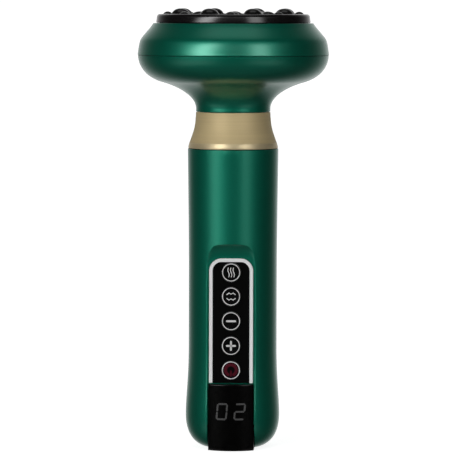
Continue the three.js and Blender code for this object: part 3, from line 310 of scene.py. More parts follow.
def makeFinish(name, look):
    material = bpy.data.materials.new(name)
    material.use_nodes = True
    tree = material.node_tree
    shader = tree.nodes["Principled BSDF"]
    coords = tree.nodes.new("ShaderNodeTexCoord")
    place = tree.nodes.new("ShaderNodeMapping")
    setInputs(place, {"Scale": look.get("stretch", (1, 1, 1))})
    noise = tree.nodes.new("ShaderNodeTexNoise")
    setInputs(noise, {"Scale": look["grain"], "Detail": grainLook["detail"]})
    tone = tree.nodes.new("ShaderNodeValToRGB")
    tone.color_ramp.elements[0].position = grainLook["firstColour"]
    tone.color_ramp.elements[1].position = grainLook["secondColour"]
    for element, colour in zip(tone.color_ramp.elements, look["colours"]):
        element.color = (*colour, 1)
    gloss = tree.nodes.new("ShaderNodeMapRange")
    setInputs(gloss, dict(zip(("To Min", "To Max"), look["rough"])))
    relief = tree.nodes.new("ShaderNodeBump")
    setInputs(relief, {"Strength": 1.0, "Distance": look["bump"] * mm})
    link = tree.links.new
    link(coords.outputs["Object"], place.inputs["Vector"])
    link(place.outputs["Vector"], noise.inputs["Vector"])
    link(noise.outputs["Fac"], tone.inputs["Fac"])
    link(noise.outputs["Fac"], gloss.inputs["Value"])
    link(noise.outputs["Fac"], relief.inputs["Height"])
    link(tone.outputs["Color"], shader.inputs["Base Color"])
    link(gloss.outputs["Result"], shader.inputs["Roughness"])
    link(relief.outputs["Normal"], shader.inputs["Normal"])
    values = {"Metallic": look.get("metallic", 0)}
    if "coat" in look:
        values["Coat Weight"], values["Coat Roughness"] = look["coat"]
    if "sheen" in look:
        values["Sheen Weight"], values["Sheen Roughness"], tint = look["sheen"]
        values["Sheen Tint"] = (*tint, 1)
    if "specular" in look:
        values["Specular IOR Level"] = look["specular"]
    # A glow makes the surface give off light of its own; on the silver trim and the red print that is
    # painted light.
    if "glow" in look:
        *colour, strength = look["glow"]
        values["Emission Color"] = (*colour, 1)
        values["Emission Strength"] = strength
    setInputs(shader, values)
    return material


materials = {name: makeFinish(name, look) for name, look in finishes.items()}
print("finishes ready:", len(materials))


# Helpers for making meshes; from here on, sizes are millimetres unless they say otherwise

mergeDistance = 1e-7  # metres
onAxis = 1e-9
nearlyHalf = 0.49  # of a side, so that the roundings of its two corners don't meet
fineSides, plainSides = 192, 160  # steps round the large turned pieces, and round the smaller ones


def linkPiece(name, mesh, finish):
    mesh.materials.append(materials[finish])
    piece = bpy.data.objects.new(name, mesh)
    bpy.context.scene.collection.objects.link(piece)
    return piece


def fitPiece(piece, replaced, body="massager"):
    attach(piece, body)
    if replaced:
        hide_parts(*replaced)


def makePiece(name, shape, finish, replaced=(), body="massager", smoothAngle=35, wall=0):
    points, faces = shape
    mesh = bpy.data.meshes.new(name)
    mesh.from_pydata([Vector(point) * mm for point in points], [], faces)
    mesh.validate()
    work = bmesh.new()
    work.from_mesh(mesh)
    bmesh.ops.remove_doubles(work, verts=work.verts, dist=mergeDistance)
    loose = [vert for vert in work.verts if not vert.link_faces]
    bmesh.ops.delete(work, geom=loose, context="VERTS")
    bmesh.ops.recalc_face_normals(work, faces=work.faces)
    work.to_mesh(mesh)
    work.free()
    mesh.shade_smooth()
    mesh.set_sharp_from_angle(angle=math.radians(smoothAngle))
    piece = linkPiece(name, mesh, finish)
    if wall:
        solid = piece.modifiers.new("wall", "SOLIDIFY")
        solid.thickness = wall * mm
        solid.offset = -1
    even = piece.modifiers.new("evenNormals", "WEIGHTED_NORMAL")
    even.keep_sharp = True
    fitPiece(piece, replaced, body)
    return piece


def between(low, high, share):
    return low + (high - low) * share


def partWay(first, second, shares):
    return (between(first[0], second[0], shares[0]), between(first[1], second[1], shares[1]))


def shifted(point, step):
    return (point[0] + step[0], point[1] + step[1])


def sampled(count, place):
    return [place(i / (count - 1)) for i in range(count)]


def curvePoints(first, second, third, fourth, steps):
    # Points of a cubic curve, without the first one
    points = []
    ends = (first, second, third, fourth)
    for step in range(1, steps + 1):
        t = step / steps
        weights = ((1 - t) ** 3, 3 * t * (1 - t) ** 2, 3 * t * t * (1 - t), t ** 3)
        points.append(tuple(sum(w * p[i] for w, p in zip(weights, ends)) for i in range(2)))
    return points


def easedCorner(point, size, inset):
    # Three points that take the edge off an outer lower corner
    return [shifted(point, step) for step in ((-size, 0), (-inset, inset), (0, size))]


def roundedOutline(corners, steps=5):
    # Corners are (radius, height, rounding); the outline is closed
    points = []
    for i, (x, z, rounding) in enumerate(corners):
        here = Vector((x, z))
        if rounding <= 0:
            points.append((x, z))
            continue
        before = Vector(corners[i - 1][:2]) - here
        after = Vector(corners[(i + 1) % len(corners)][:2]) - here
        reach = rounding / math.tan(before.angle(after) / 2)
        reach = min(reach, before.length * nearlyHalf, after.length * nearlyHalf)
        start = here + before.normalized() * reach
        end = here + after.normalized() * reach
        for step in range(steps + 1):
            t = step / steps
            points.append(tuple((1 - t) ** 2 * start + 2 * t * (1 - t) * here + t * t * end))
    return points


def latheMesh(outline, sides, centre=(0, 0)):
    # Turns a closed outline of (radius, height) about the upright axis
    points, faces = [], []
    count = len(outline)
    for side in range(sides):
        angle = 2 * math.pi * side / sides
        for radius, z in outline:
            points.append((centre[0] + radius * math.cos(angle), centre[1] + radius * math.sin(angle), z))
    for side in range(sides):
        following = (side + 1) % sides
        for i in range(count):
            j = (i + 1) % count
            if outline[i][0] < onAxis and outline[j][0] < onAxis:
                continue
            faces.append((side * count + i, following * count + i, following * count + j, side * count + j))
    return points, faces


def frontLathe(outline, sides, x, z):
    # Turns a closed outline of (radius, y) about an axis along Y, through x and z
    points, faces = latheMesh(outline, sides)
    return [(x + p[0], p[2], z + p[1]) for p in points], faces


def gridFace(row, column, width):
    # Four neighbours in a grid of points, width points to a row
    a = row * width + column
    return (a, a + 1, a + width + 1, a + width)


def tubeFaces(count, size):
    # A closed skin over a run of rings, each with size points
    faces = []
    for i in range(count - 1):
        for j in range(size):
            k = (j + 1) % size
            faces.append((i * size + j, i * size + k, (i + 1) * size + k, (i + 1) * size + j))
    faces.append(tuple(range(size)))
    faces.append(tuple((count - 1) * size + j for j in reversed(range(size))))
    return faces


def join(*meshes):
    points, faces = [], []
    for some, more in meshes:
        start = len(points)
        points += some
        faces += [tuple(start + i for i in face) for face in more]
    return points, faces


print("helpers ready")


# Grip

grip = {
    "foot": (10.5, 0.0),  # radius and height
    "bulge": (22.02, 15.4),
    "slimLow": (20.66, 48.0),
    "slimHigh": (20.66, 80.0),
    "top": (21.25, 140.1),
    "footPull": (0.44, 0),  # pulls are the curves' handles, as shares of their stretch
    "bulgePull": 0.235,
    "waistPulls": (0.25, 0.5),
    "upperPulls": (0.32, 0.35),
    "topDraft": 0.28,
    "topRounding": 0.3,
    "parting": 0.015,
    "partingBevel": 0.12,
    "frontWall": 0.7,
    "backWall": 1.6,
}
recess = {
    "halfWidth": 10.9,
    "widest": 0.95,  # share of the radius that it may take near the foot
    "floor": -17.35,
    "scoopLow": 90.05,
    "scoopRise": 6.4,
    "scoopDepth": 3.72,
    "corner": 4.0,
    "soft": 0.12,
    "edge": 0.7,
    "edgeShare": 0.6,
    "edgeRise": 6.0,  # the edge's rounding grows up to here
    "edgeHigh": 80,  # and fades with the scoop from here
    "openHigh": 12,  # the shell is open behind the window up to here
    "openDepth": 0.8,
    "pocketHalfWidth": 10.4,
    "pocketLow": 31.5,
    "pocketHigh": 89.9,
    "pocketCorner": 6.0,
    "pocketFloor": -16.5,
    "slotHalfWidth": 6.0,
    "slotLow": 31.9,
    "slotHigh": 88.9,
}
gripRowPlan = {
    "slimStep": {"front": 2.0, "back": 5.0},
    "slimRows": {"front": 16, "back": 6},
    "pocketFoot": (31.3, recess["pocketLow"], recess["slotLow"]),
    "scoopFoot": (81.0, 82.5),
    "scoopFrom": 84.0,
    "scoopTo": 96.9,
    "scoopStep": 0.14,
    "upperFrom": {"front": 97.5, "back": 80.5},
    "upperTo": 139,
    "topSteps": 4,
}
gripColumns = {"inner": 54, "edge": 9, "outer": 30, "back": 72}


def gripCurves():
    foot, bulge, top = grip["foot"], grip["bulge"], grip["top"]
    slimLow, slimHigh = grip["slimLow"], grip["slimHigh"]
    line = [foot]
    line += curvePoints(foot, partWay(foot, bulge, grip["footPull"]),
                        (bulge[0], bulge[1] * grip["bulgePull"]), bulge, 30)
    low, high = grip["waistPulls"]
    line += curvePoints(bulge, (bulge[0], between(bulge[1], slimLow[1], low)),
                        (slimLow[0], between(slimLow[1], bulge[1], high)), slimLow, 20)
    low, high = grip["upperPulls"]
    line.append(slimHigh)
    line += curvePoints(slimHigh, (slimHigh[0], between(slimHigh[1], top[1], low)),
                        (top[0] - grip["topDraft"], between(top[1], slimHigh[1], high)), top, 24)
    return line


gripLine = gripCurves()


def gripRadius(z):
    for (r0, z0), (r1, z1) in zip(gripLine, gripLine[1:]):
        if z0 <= z <= z1 and z1 > z0:
            return r0 + (r1 - r0) * (z - z0) / (z1 - z0)
    return gripLine[-1][0]


def gripRows(side):
    # Rows of (radius, height) from the foot up; the front has close rows round the scoop
    plan = gripRowPlan
    radius, slim = grip["slimLow"]
    rows = [point for point in gripLine if point[1] <= slim]
    for step in range(1, plan["slimRows"][side] + 1):
        rows.append((radius, slim + step * plan["slimStep"][side]))
    if side == "front":
        rows += [(gripRadius(z), z) for z in plan["pocketFoot"] + plan["scoopFoot"]]
        z = plan["scoopFrom"]
        while z < plan["scoopTo"]:
            rows.append((gripRadius(z), z))
            z += plan["scoopStep"]
    rows += [point for point in gripLine if plan["upperFrom"][side] < point[1] < plan["upperTo"]]
    radius, top = grip["top"]
    rounding = grip["topRounding"]
    for step in range(plan["topSteps"] + 1):
        angle = math.pi / 2 * step / plan["topSteps"]
        rows.append((radius - rounding * (1 - math.cos(angle)), top - rounding * (1 - math.sin(angle))))
    rows.sort(key=lambda row: row[1])
    return rows


def softPositive(value, soft):
    # The value where it is positive and else 0, with a soft bend between the two
    if value <= -soft:
        return 0.0
    if value >= soft:
        return value
    return (value + soft) ** 2 / (4 * soft)


def recessDepth(x, z, surfaceY):
    # How far the floor or the scoop lies behind the grip's own surface
    across = abs(x)
    straight = recess["halfWidth"] - recess["corner"]
    drop = 0.0
    if across > straight:
        drop = recess["corner"] - math.sqrt(max(0.0, recess["corner"] ** 2 - (across - straight) ** 2))
    share = (z + drop - recess["scoopLow"]) / recess["scoopRise"]
    if share >= 1:
        return 0.0
    y = recess["floor"]
    if share > 0:
        y -= recess["scoopDepth"] * (1 - math.sqrt(1 - share * share))
    return softPositive(y - surfaceY, recess["soft"])


def inPocket(x, z):
    # Under the panel the floor is lower, so that the panel has room
    across = abs(x)
    half, high, corner = recess["pocketHalfWidth"], recess["pocketHigh"], recess["pocketCorner"]
    if across > half or z > high or z < recess["pocketLow"]:
        return False
    if across > half - corner and z > high - corner:
        return math.hypot(across - half + corner, z - high + corner) < corner
    return True


def partingAngle(radius):
    return math.acos((grip["parting"] + grip["partingBevel"]) / radius)


def frontRow(radius, z):
    # Points from the middle of the front to the parting at the side, for x >= 0
    inner, edge, outer = gripColumns["inner"], gripColumns["edge"], gripColumns["outer"]
    half = min(recess["halfWidth"], radius * recess["widest"])
    points = []
    for i in range(inner + 1):
        x = half * i / inner
        surfaceY = -math.sqrt(radius ** 2 - x ** 2)
        if z < recess["openHigh"]:
            y = max(recess["floor"], surfaceY + recess["openDepth"])
        elif inPocket(x, z):
            y = recess["pocketFloor"]
        else:
            y = surfaceY + recessDepth(x, z, surfaceY)
        points.append((x, y, z))
    reach = min(recess["edge"], (radius - half) * recess["edgeShare"])
    for i in range(edge + 1):
        angle = math.pi / 2 * i / edge
        x = half + reach * (1 - math.cos(angle))
        surfaceY = -math.sqrt(radius ** 2 - x ** 2)
        depth = reach * (1 - math.sin(angle)) * min(1.0, z / recess["edgeRise"])
        if z > recess["edgeHigh"]:
            depth = min(depth, recessDepth(x, z, surfaceY))
        points.append((x, surfaceY + depth, z))
    start, end = math.asin((half + reach) / radius), partingAngle(radius)
    for i in range(1, outer + 1):
        angle = start + (end - start) * i / outer
        points.append((radius * math.sin(angle), -radius * math.cos(angle), z))
    points.append((radius - grip["partingBevel"], -grip["parting"], z))
    return points


def openColumns(low, high):
    # How many columns on each side of the middle stay open between two heights
    if low < recess["openHigh"]:
        return gripColumns["inner"] + 1
    if recess["slotLow"] <= low and high <= recess["slotHigh"]:
        return gripColumns["inner"] * recess["slotHalfWidth"] / recess["halfWidth"]
    return 0


def makeFrontShell():
    rows = gripRows("front")
    points, faces = [], []
    for radius, z in rows:
        half = frontRow(radius, z)
        points += [(-x, y, height) for x, y, height in reversed(half[1:])] + half
    width = len(points) // len(rows)
    middle = width // 2
    for row in range(len(rows) - 1):
        leftOpen = openColumns(rows[row][1], rows[row + 1][1])
        for column in range(width - 1):
            if abs(column + 0.5 - middle) >= leftOpen:
                faces.append(gridFace(row, column, width))
    makePiece("gripFront", (points, faces), "greenLacquer", ["handle_front_shell"],
              smoothAngle=50, wall=grip["frontWall"])


def makeBackShell():
    rows = gripRows("back")
    columns, bevel, parting = gripColumns["back"], grip["partingBevel"], grip["parting"]
    points = []
    for radius, z in rows:
        end = partingAngle(radius)
        points.append((radius - bevel, parting, z))
        for i in range(columns + 1):
            angle = -end + 2 * end * i / columns
            points.append((-radius * math.sin(angle), radius * math.cos(angle), z))
        points.append((-radius + bevel, parting, z))
    width = len(points) // len(rows)
    faces = [gridFace(row, column, width) for row in range(len(rows) - 1) for column in range(width - 1)]
    makePiece("gripBack", (points, faces), "greenLacquer", ["handle_back_shell"],
              smoothAngle=50, wall=grip["backWall"])


makeFrontShell()
makeBackShell()
print("grip ready")


# Collar

collar = {
    "low": 140.35,
    "bore": 15.9,
    "rounding": 0.25,
    "lipRadius": 21.0,
    "lipWall": 0.7,
    "lipRoundings": (0.3, 0.2),
    "lipTop": (20.5, 143.0),
    "lipInner": (-0.5, 0.1),  # a step from lipTop, as are the next three
    "sleeveLow": (-0.12, -0.4),
    "sleeveStart": (-0.12, 0.05),
    "sleevePull": (-0.5, 1.2),
    "waist": (19.0, 147.0),
    "waistPulls": ((0.5, -1.5), (-0.75, 2.3)),  # as steps from their point
    "ridge": (17.62, 154.6),
    "ridgePull": (0.03, -3.0),
    "ridgeStep": (-0.1, 0.12),
    "top": (17.45, 157.2),
    "topTurns": (0.5, 1.0, 1.57),
}


def makeCollar():
    low, bore, wide, edge = collar["low"], collar["bore"], collar["lipRadius"], collar["rounding"]
    lipTop, waist, ridge, top = collar["lipTop"], collar["waist"], collar["ridge"], collar["top"]
    inner = shifted(lipTop, collar["lipInner"])
    lower, upper = collar["lipRoundings"]
    corners = [(bore, low, 0), (wide, low, edge), (wide, low + collar["lipWall"], lower),
               (*lipTop, upper), (*inner, 0), (bore, inner[1], 0)]
    makePiece("collarLip", latheMesh(roundedOutline(corners), plainSides), "polishedGold",
              smoothAngle=40)
    foot, start = shifted(lipTop, collar["sleeveLow"]), shifted(lipTop, collar["sleeveStart"])
    waistBelow, waistAbove = [shifted(waist, pull) for pull in collar["waistPulls"]]
    line = [foot, start]
    line += curvePoints(start, shifted(lipTop, collar["sleevePull"]), waistBelow, waist, 12)
    line += curvePoints(waist, waistAbove, shifted(ridge, collar["ridgePull"]), ridge, 14)
    line += [shifted(ridge, collar["ridgeStep"]), (top[0], top[1] - edge)]
    for angle in collar["topTurns"]:
        line.append((top[0] - edge * (1 - math.cos(angle)), top[1] - edge * (1 - math.sin(angle))))
    line += [(bore, top[1]), (bore, foot[1])]
    makePiece("collar", latheMesh(line, plainSides), "champagneGold", ["collar_ring"],
              smoothAngle=40)


# Head

lowerBowl = {
    "neck": (17.45, 157.5),
    "neckEdge": (0.25, 0.07),
    "neckTop": (17.42, 158.9),
    "neckPulls": ((0, 0.42), (0.45, 0.8)),  # as shares of their stretch
    "underside": (32.9, 171.05),
    "undersidePull": (0.56, 0.14),
    "bowl": (44.62, 183.7),
    "bowlPull": 0.48,
    "bowlDraft": 0.3,
    "wall": 2.2,
    "straight": 5,
    "throat": 3,
    "tubeBore": 13.6,
    "tubeRadius": 15.6,
    "flangeRadius": 17.8,
    "flangeLow": 133.9,
    "flangeHigh": 135.9,
}


def makeLowerBowl():
    neck, neckTop, wall = lowerBowl["neck"], lowerBowl["neckTop"], lowerBowl["wall"]
    underside, bowl = lowerBowl["underside"], lowerBowl["bowl"]
    neckPull, undersideBelow = [partWay(neckTop, underside, pull) for pull in lowerBowl["neckPulls"]]
    undersideAbove = partWay(underside, bowl, lowerBowl["undersidePull"])
    bowlPull = (bowl[0] - lowerBowl["bowlDraft"], between(underside[1], bowl[1], lowerBowl["bowlPull"]))
    line = easedCorner(neck, *lowerBowl["neckEdge"]) + [neckTop]
    line += curvePoints(neckTop, neckPull, undersideBelow, underside, 28)
    line += curvePoints(underside, undersideAbove, bowlPull, bowl, 24)
    throat, bore, tube = lowerBowl["throat"], lowerBowl["tubeBore"], lowerBowl["tubeRadius"]
    flange, low, high = lowerBowl["flangeRadius"], lowerBowl["flangeLow"], lowerBowl["flangeHigh"]
    line += [(bowl[0] - wall, bowl[1]), (bowl[0] - wall, bowl[1] - lowerBowl["straight"]),
             (underside[0], underside[1] + wall), (neck[0] + throat, underside[1] - throat),
             (bore, neck[1] + throat), (bore, low), (flange, low), (flange, high), (tube, high),
             (tube, neck[1])]
    makePiece("headLower", latheMesh(line, fineSides), "greenLacquer",
              ["head_lower_shell"])


upperBowl = {
    "seam": (44.8, 183.8),
    "seamEdge": (0.35, 0.1),
    "wallTop": (44.42, 186.7),
    "wallShares": (0.33, 0.67),
    "wallPull": (-0.25, 1.6),  # pulls are the curves' handles, as steps from their points
    "crease": (43.3, 191.2),
    "creasePulls": ((0.55, -1.0), (-0.95, 1.7)),
    "edge": (37.6, 198.45),
    "edgePull": (1.15, -2.0),
    "shoulder": (37.35, 198.75),
    "shoulderPulls": ((0.08, -0.02), (-0.1, 0)),
    "shoulderFlat": 0.5,
    "inside": ((33.0, 196.75), (35.6, 196.15), (41.2, 191.2), (42.2, 185.8)),
}


def makeUpperBowl():
    seam, wallTop, crease = upperBowl["seam"], upperBowl["wallTop"], upperBowl["crease"]
    edge, shoulder, inside = upperBowl["edge"], upperBowl["shoulder"], upperBowl["inside"]
    wallLow, wallHigh = [partWay(seam, wallTop, (share, share)) for share in upperBowl["wallShares"]]
    creaseBelow, creaseAbove = [shifted(crease, pull) for pull in upperBowl["creasePulls"]]
    shoulderPulls = [shifted(shoulder, pull) for pull in upperBowl["shoulderPulls"]]
    line = easedCorner(seam, *upperBowl["seamEdge"])
    line += curvePoints(line[-1], wallLow, wallHigh, wallTop, 6)
    line += curvePoints(wallTop, shifted(wallTop, upperBowl["wallPull"]), creaseBelow, crease, 16)
    line += curvePoints(crease, creaseAbove, shifted(edge, upperBowl["edgePull"]), edge, 20)
    line += curvePoints(edge, *shoulderPulls, (shoulder[0] - upperBowl["shoulderFlat"], shoulder[1]), 5)
    line += [(inside[0][0], shoulder[1]), *inside, (inside[-1][0], seam[1])]
    makePiece("headUpper", latheMesh(line, fineSides), "greenLacquer",
              ["head_upper_shell"])


makeCollar()
makeLowerBowl()
makeUpperBowl()
print("collar and head ready")


# Massage face: rim, seal, plate with its low bumps and nubs, and the domes

plate = {
    "bodyRadius": 32.7,
    "lipRadius": 33.6,
    "lipLow": 202.1,
    "lipTop": 203.05,
    "lipRoundings": (0.3, 0.4),
    "lipFlat": 1.5,
    "lipFoot": 2.1,
    "floor": 202.45,
    "thick": 2,
    "skirtWall": 1.8,
    "skirtDepth": 5.2,
    "holeRadius": 5.0,
    "holeRounding": 0.15,
    "ringCount": 8,
    "bumpRing": 15.9,
    "bumpRadius": 3.5,
    "bumpTop": 204.25,
    "nubRing": 30.7,
    "nubRadius": 2.3,
    "nubTop": 204.15,
}
rim = {
    "low": 198.93,
    "radius": 36.1,
    "foot": ((-0.3, 0), (-0.08, 0.1), (0, 0.35)),  # steps from the lower outer corner
    "lean": 0.25,
    "round": (1.3, 1.7),
    "roundSteps": 8,
    "crest": 202.95,
    "lipGap": 0.08,
    "innerEdge": 0.15,
    "seat": 200.9,
    "bore": 33.0,
}
seal = {"inner": 32.8, "low": 200.95, "high": 201.9, "roundings": (0.05, 0.1)}


def makeRim():
    low, radius, bore, crest, seat = rim["low"], rim["radius"], rim["bore"], rim["crest"], rim["seat"]
    lip, edge = plate["lipRadius"] + rim["lipGap"], rim["innerEdge"]
    upper = radius - rim["lean"]
    wide, tall = rim["round"]
    outline = [(bore, low)] + [shifted((radius, low), step) for step in rim["foot"]]
    for step in range(rim["roundSteps"] + 1):
        angle = math.pi / 2 * step / rim["roundSteps"]
        outline.append((upper - wide * (1 - math.cos(angle)), crest - tall * (1 - math.sin(angle))))
    outline += [(lip + edge, crest), (lip, crest - edge), (lip, seat), (bore, seat)]
    makePiece("rim", latheMesh(outline, fineSides), "glossBlack", ["plate_rim"],
              smoothAngle=50)


def makeSeal():
    inner, outer, low, high = seal["inner"], plate["lipRadius"], seal["low"], seal["high"]
    under, over = seal["roundings"]
    corners = [(inner, low, under), (outer, low, under), (outer, high, over), (inner, high, over)]
    makePiece("seal", latheMesh(roundedOutline(corners), plainSides), "softRubber",
              ["plate_seal"], smoothAngle=50)


stud = {"root": 0.8, "skirt": 0.15, "fillet": (0.02, 0.03), "fullness": 0.55, "flat": 0.5, "sides": 28}


def studMesh(radius, floor, top, x, y):
    wide = radius + stud["skirt"]
    below, above = stud["fillet"]
    foot = (radius, floor + above)
    line = [(0, floor - stud["root"]), (wide, floor - stud["root"]), (wide, floor - below), foot]
    line += curvePoints(foot, (radius, between(floor, top, stud["fullness"])),
                        (radius * stud["flat"], top), (0, top), 10)
    return latheMesh(line, stud["sides"], (x, y))


def ringPlaces(ring, turn):
    count = plate["ringCount"]
    angles = [turn + 2 * math.pi * i / count for i in range(count)]
    return [(ring * math.cos(angle), ring * math.sin(angle)) for angle in angles]


def makePlate():
    body, lip, low, top = plate["bodyRadius"], plate["lipRadius"], plate["lipLow"], plate["lipTop"]
    floor, hole = plate["floor"], plate["holeRadius"]
    under, over = plate["lipRoundings"]
    inner, back, skirt = body - plate["skirtWall"], floor - plate["thick"], floor - plate["skirtDepth"]
    corners = [(hole, back, 0), (inner, back, 0), (inner, skirt, 0), (body, skirt, 0), (body, low, 0),
               (lip, low, under), (lip, top, over), (lip - plate["lipFlat"], top, over),
               (lip - plate["lipFoot"], floor, over), (hole, floor, plate["holeRounding"])]
    shapes = [latheMesh(roundedOutline(corners), fineSides)]
    for kind in ("bump", "nub"):
        for x, y in ringPlaces(plate[kind + "Ring"], 0):
            shapes.append(studMesh(plate[kind + "Radius"], floor, plate[kind + "Top"], x, y))
    makePiece("massagePlate", join(*shapes), "domeBlack", ["massage_plate"], smoothAngle=40)


dome = {
    "ring": 26.06,
    "turn": math.pi / 8,
    "radius": 4.5,
    "top": 205.65,
    "seat": 0.2,
    "pinRadius": 1.8,
    "pinDepth": 1.9,
    "footBevel": (0.1, 0.12),
    "fullness": (0.88, 0.55),
    "flat": 0.58,
    "sides": 48,
}


def makeDomes():
    radius, top, pin = dome["radius"], dome["top"], dome["pinRadius"]
    floor = plate["floor"] + dome["seat"]
    low = floor - dome["pinDepth"]
    across, up = dome["footBevel"]
    wide, high = dome["fullness"]
    line = [(0, low), (pin, low), (pin, floor), (radius - across, floor), (radius, floor + up)]
    line += curvePoints(line[-1], (radius * wide, between(floor, top, high)),
                        (radius * dome["flat"], top), (0, top), 16)
    for i, spot in enumerate(ringPlaces(dome["ring"], dome["turn"])):
        makePiece(f"dome{i + 1}", latheMesh(line, dome["sides"], spot), "domeBlack",
                  [f"massage_dome_{i + 1}"], smoothAngle=50)


makeRim()
makeSeal()
makePlate()
makeDomes()
print("massage face ready")


# Panel: frame, plate, keys with their symbols, display window

panel = {
    "floor": -17.35,
    "low": 31.65,
    "top": 89.7,
    "halfWidth": 10.2,
    "corner": 5.8,
    "cornerSteps": 14,
    "frameWidth": 1.6,
    "frameFront": -17.75,
    "frameBack": -16.6,
    "frameBevel": 0.14,
    "plateGap": 0.1,
    "plateThick": 0.7,
    "holeRadius": 4.65,
    "holeSides": 64,
}
keyCap = {
    "heights": {"power": 37.58, "plus": 49.0, "minus": 60.52, "mode": 72.03, "heat": 83.25},
    "front": -17.85,
    "radius": 4.5,
    "edge": 0.08,
    "flangeRadius": 5.5,
    "flangeFront": -16.1,
    "flangeSlope": 0.05,
    "flangeBack": -15.45,
    "stemRadius": 2,
    "stemBack": -14.95,
    "sides": 64,
    "ringInner": 3.77,
    "ringOuter": 4.18,
    "ringSides": 72,
    "printHeight": 0.03,
    "printSunk": 0.01,
}


def archLine(half, low, top, corner):
    # From the lower right up, over the rounded top, and down to the lower left, as (x, z)
    line = [(half, low)]
    for i in range(panel["cornerSteps"] + 1):
        angle = math.pi / 2 * i / panel["cornerSteps"]
        line.append((half - corner + corner * math.cos(angle), top - corner + corner * math.sin(angle)))
    return line + [(-x, z) for x, z in reversed(line)]


def bandMesh(outer, inner, front, back, bevel):
    # A band between two lines of equally many points, its front edges bevelled
    outerSide = ((0, back), (0, front + bevel), (bevel, front))
    innerSide = ((-bevel, front), (0, front + bevel), (0, back))
    points = []
    for first, second in zip(outer, inner):
        first, second = Vector(first), Vector(second)
        inward = (second - first).normalized()
        for start, side in ((first, outerSide), (second, innerSide)):
            for step, y in side:
                spot = start + inward * step
                points.append((spot.x, y, spot.y))
    return points, tubeFaces(len(outer), len(outerSide) + len(innerSide))


def makeFrame():
    half, low, top = panel["halfWidth"], panel["low"], panel["top"]
    corner, wide = panel["corner"], panel["frameWidth"]
    outer = archLine(half, low, top, corner)
    inner = archLine(half - wide, low, top - wide, corner - wide)
    band = bandMesh(outer, inner, panel["frameFront"], panel["frameBack"], panel["frameBevel"])
    makePiece("frame", band, "silverTrim", ["panel_frame"], smoothAngle=30)


def makePanelPlate():
    front, thick = panel["floor"], panel["plateThick"]
    inset = panel["frameWidth"] + panel["plateGap"]
    half, top, corner = (panel[name] - inset for name in ("halfWidth", "top", "corner"))
    radius, sides = panel["holeRadius"], panel["holeSides"]
    work = bmesh.new()
    edges = []

    def addLoop(line):
        verts = [work.verts.new(Vector((x, front, z)) * mm) for x, z in line]
        edges.extend(work.edges.new(pair) for pair in zip(verts, verts[1:] + verts[:1]))

    addLoop(archLine(half, panel["low"], top, corner))
    for height in keyCap["heights"].values():
        angles = [2 * math.pi * i / sides for i in range(sides)]
        addLoop([(radius * math.cos(angle), height + radius * math.sin(angle)) for angle in angles])
    made = bmesh.ops.triangle_fill(work, edges=edges, use_beauty=True)
    flat = [item for item in made["geom"] if isinstance(item, bmesh.types.BMFace)]
    made = bmesh.ops.extrude_face_region(work, geom=flat)
    moved = [item for item in made["geom"] if isinstance(item, bmesh.types.BMVert)]
    bmesh.ops.translate(work, vec=Vector((0, thick, 0)) * mm, verts=moved)
    bmesh.ops.recalc_face_normals(work, faces=work.faces)
    mesh = bpy.data.meshes.new("panelPlate")
    work.to_mesh(mesh)
    work.free()
    fitPiece(linkPiece("panelPlate", mesh, "panelBlack"), ["panel_plate"])


capTurns = (-1.05, -0.52, 0, 0.52, 1.05)  # points of a stroke's round end, in radians from its direction


def strokeMesh(line, width, y, thickness):
    # A flat stroke with round ends along (x, z) points, from y back by its thickness
    spots = [Vector(point) for point in line]
    left, right = [], []
    for i, spot in enumerate(spots):
        before = spots[max(i - 1, 0)]
        after = spots[min(i + 1, len(spots) - 1)]
        along = (after - before).normalized()
        side = Vector((-along.y, along.x)) * width / 2
        left.append(spot + side)
        right.append(spot - side)

    def cap(centre, inside):
        direction = centre - inside
        turn = math.atan2(direction.y, direction.x)
        return [centre + Vector((math.cos(turn + a), math.sin(turn + a))) * width / 2 for a in capTurns]

    outline = right + cap(spots[-1], spots[-2]) + left[::-1] + cap(spots[0], spots[1])
    points = [(p.x, y, p.y) for p in outline] + [(p.x, y + thickness, p.y) for p in outline]
    count, capSize, size = len(spots), len(capTurns), len(outline)
    front = []
    for a in range(count - 1):
        d = 2 * count + capSize - 1 - a  # the point across the stroke from a
        front.append((a, a + 1, d - 1, d))
    front.append(tuple(range(count - 1, count + capSize + 1)))
    front.append((*range(2 * count + capSize - 1, size), 0))
    faces = []
    for face in front:
        faces += [face, tuple(size + i for i in reversed(face))]
    for i in range(size):
        j = (i + 1) % size
        faces.append((i, size + i, size + j, j))
    return points, faces


# Each symbol gives its strokes as (line, width), about the height of its key

heatWave = {"spacing": 1.2, "sway": 0.26, "lean": 0.2, "half": 2.1, "width": 0.38, "points": 17}
modeWave = {"places": ((-1.95, 0.9), (-1.0, 1.66), (0.0, 1.08), (1.0, 1.66), (1.95, 0.9)), "width": 0.46}
signBar = {"half": 1.9, "width": 0.92}
powerSign = {
    "lift": 0.1, "radius": 2.5, "arcStart": -58, "arcTurn": 296, "arcWidth": 1.4, "points": 25,
    "stemLow": -2.6, "stemHigh": -0.4, "stemWidth": 0.8,
}


def heatSymbol(z):
    sway, lean, half, spacing = heatWave["sway"], heatWave["lean"], heatWave["half"], heatWave["spacing"]
    strokes = []
    for x in (-spacing, 0.0, spacing):
        line = sampled(heatWave["points"], lambda t: (
            x - sway * math.sin(2 * math.pi * t) + lean * (t - 0.5), z + half * (1 - 2 * t)))
        strokes.append((line, heatWave["width"]))
    return strokes


def modeSymbol(z):
    return [([(x, z + side * h) for x, h in modeWave["places"]], modeWave["width"]) for side in (1, -1)]


def minusSymbol(z):
    half = signBar["half"]
    return [([(-half, z), (half, z)], signBar["width"])]


def plusSymbol(z):
    half = signBar["half"]
    return minusSymbol(z) + [([(0, z - half), (0, z + half)], signBar["width"])]


